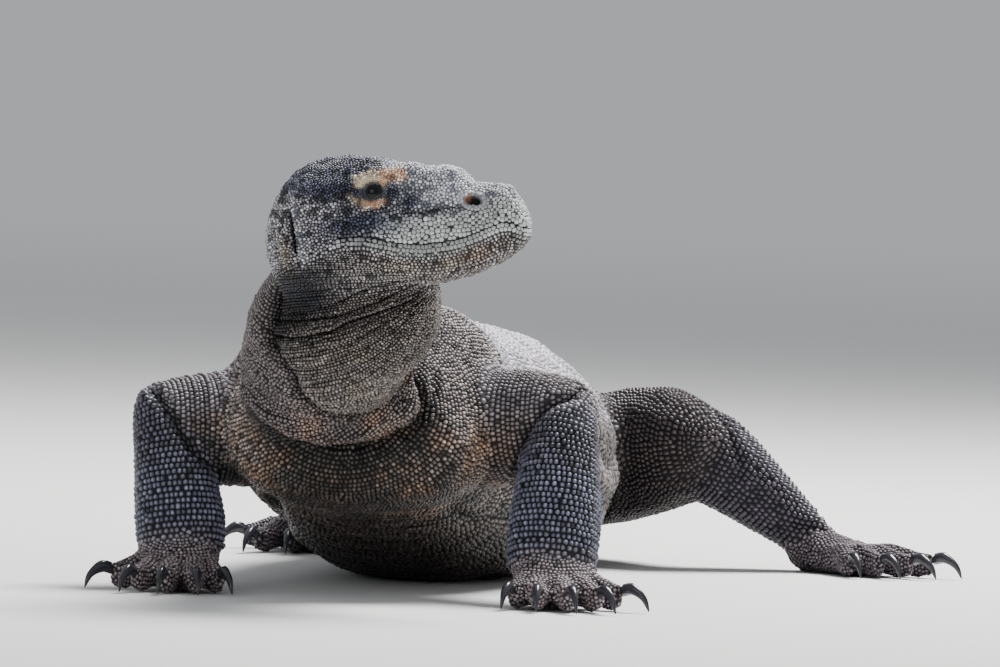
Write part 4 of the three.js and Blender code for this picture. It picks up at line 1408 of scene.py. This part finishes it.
def eyeMaterial(name, centre, gaze):
    material, tree, inputs = newMaterial(name, "eyes")
    where = tree.nodes.new("ShaderNodeTexCoord")
    offset = tree.nodes.new("ShaderNodeVectorMath")
    offset.operation = "SUBTRACT"
    offset.inputs[1].default_value = centre
    scaled = tree.nodes.new("ShaderNodeVectorMath")
    scaled.operation = "DOT_PRODUCT"
    scaled.inputs[1].default_value = Vector(gaze) / eyeRadius
    ramp = tree.nodes.new("ShaderNodeValToRGB")
    for k, (place, colour) in enumerate(irisStops):
        stop = ramp.color_ramp.elements[k] if k < 2 else ramp.color_ramp.elements.new(place)
        stop.position = place
        stop.color = (*linear(colour), 1)
    tree.links.new(where.outputs["Object"], offset.inputs[0])
    tree.links.new(offset.outputs[0], scaled.inputs[0])
    tree.links.new(scaled.outputs["Value"], ramp.inputs["Fac"])
    tree.links.new(ramp.outputs["Color"], inputs["Base Color"])
    return material


for side, centre in eyes.items():
    node = nodes[f"eye_{side}"]
    gaze = norm(headTurn @ np.array([0.16, sideSign[side], 0.10]))
    node.data.materials[0] = eyeMaterial(f"eye{side.title()}", centre, gaze)
    rounded(node, 3)
    middle = added(f"middleOfEye{side.title()}", None)
    middle.location = centre
    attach(middle, "root")
    ball = node.modifiers.new("ball", "CAST")
    ball.factor = 1.0
    ball.use_radius_as_size = False
    ball.size = eyeRadius * 0.995
    ball.object = middle
report("eyes and claws")

# plain studio
studio = {
    "paper": (0.80, 0.80, 0.79),
    "sky": (0.80, 0.82, 0.85),
    "skyStrength": 0.55,
    "fade": (3.0, 18.0),  # how far out the floor turns into the sky
    "lamps": {  # place, aim, size, watts, colour
        "overhead": ((1.2, 1.2, 3.0), (0, -0.1, 0.1), 1.5, 330, (1.0, 0.99, 0.98)),
        "front": ((-1.8, -3.6, 1.6), (0, -0.3, 0.15), 1.8, 20, (0.95, 0.97, 1.0)),
    },
}
floorMesh = bpy.data.meshes.new("floor")
floorMesh.from_pydata([(-60, -60, 0), (60, -60, 0), (60, 60, 0), (-60, 60, 0)], [], [(0, 1, 2, 3)])
floor = added("floor", floorMesh)
paper, tree, inputs = newMaterial("paper", "paper")
inputs["Base Color"].default_value = (*studio["paper"], 1)
place = tree.nodes.new("ShaderNodeTexCoord")
length = tree.nodes.new("ShaderNodeVectorMath")
length.operation = "LENGTH"
fade = tree.nodes.new("ShaderNodeMapRange")
fade.interpolation_type = "SMOOTHSTEP"
fade.inputs["From Min"].default_value, fade.inputs["From Max"].default_value = studio["fade"]
glow = tree.nodes.new("ShaderNodeEmission")
glow.inputs["Color"].default_value = (*studio["sky"], 1)
glow.inputs["Strength"].default_value = studio["skyStrength"]
blend = tree.nodes.new("ShaderNodeMixShader")
tree.links.new(place.outputs["Object"], length.inputs[0])
tree.links.new(length.outputs["Value"], fade.inputs["Value"])
tree.links.new(fade.outputs["Result"], blend.inputs["Fac"])
tree.links.new(tree.nodes["Principled BSDF"].outputs["BSDF"], blend.inputs[1])
tree.links.new(glow.outputs["Emission"], blend.inputs[2])
tree.links.new(blend.outputs["Shader"], tree.nodes["Material Output"].inputs["Surface"])
floorMesh.materials.append(paper)

world = bpy.data.worlds.new("studio")
bpy.context.scene.world = world
world.use_nodes = True
sky = world.node_tree.nodes["Background"]
sky.inputs["Color"].default_value = (*studio["sky"], 1)
sky.inputs["Strength"].default_value = studio["skyStrength"]

for name, (place, aim, size, watts, colour) in studio["lamps"].items():
    data = bpy.data.lights.new(name, "AREA")
    data.energy = watts
    data.size = size
    data.color = colour
    lamp = added(name, data)
    lamp.location = place
    lamp.rotation_euler = (Vector(aim) - Vector(place)).to_track_quat("-Z", "Y").to_euler()

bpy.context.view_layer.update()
report("finished")
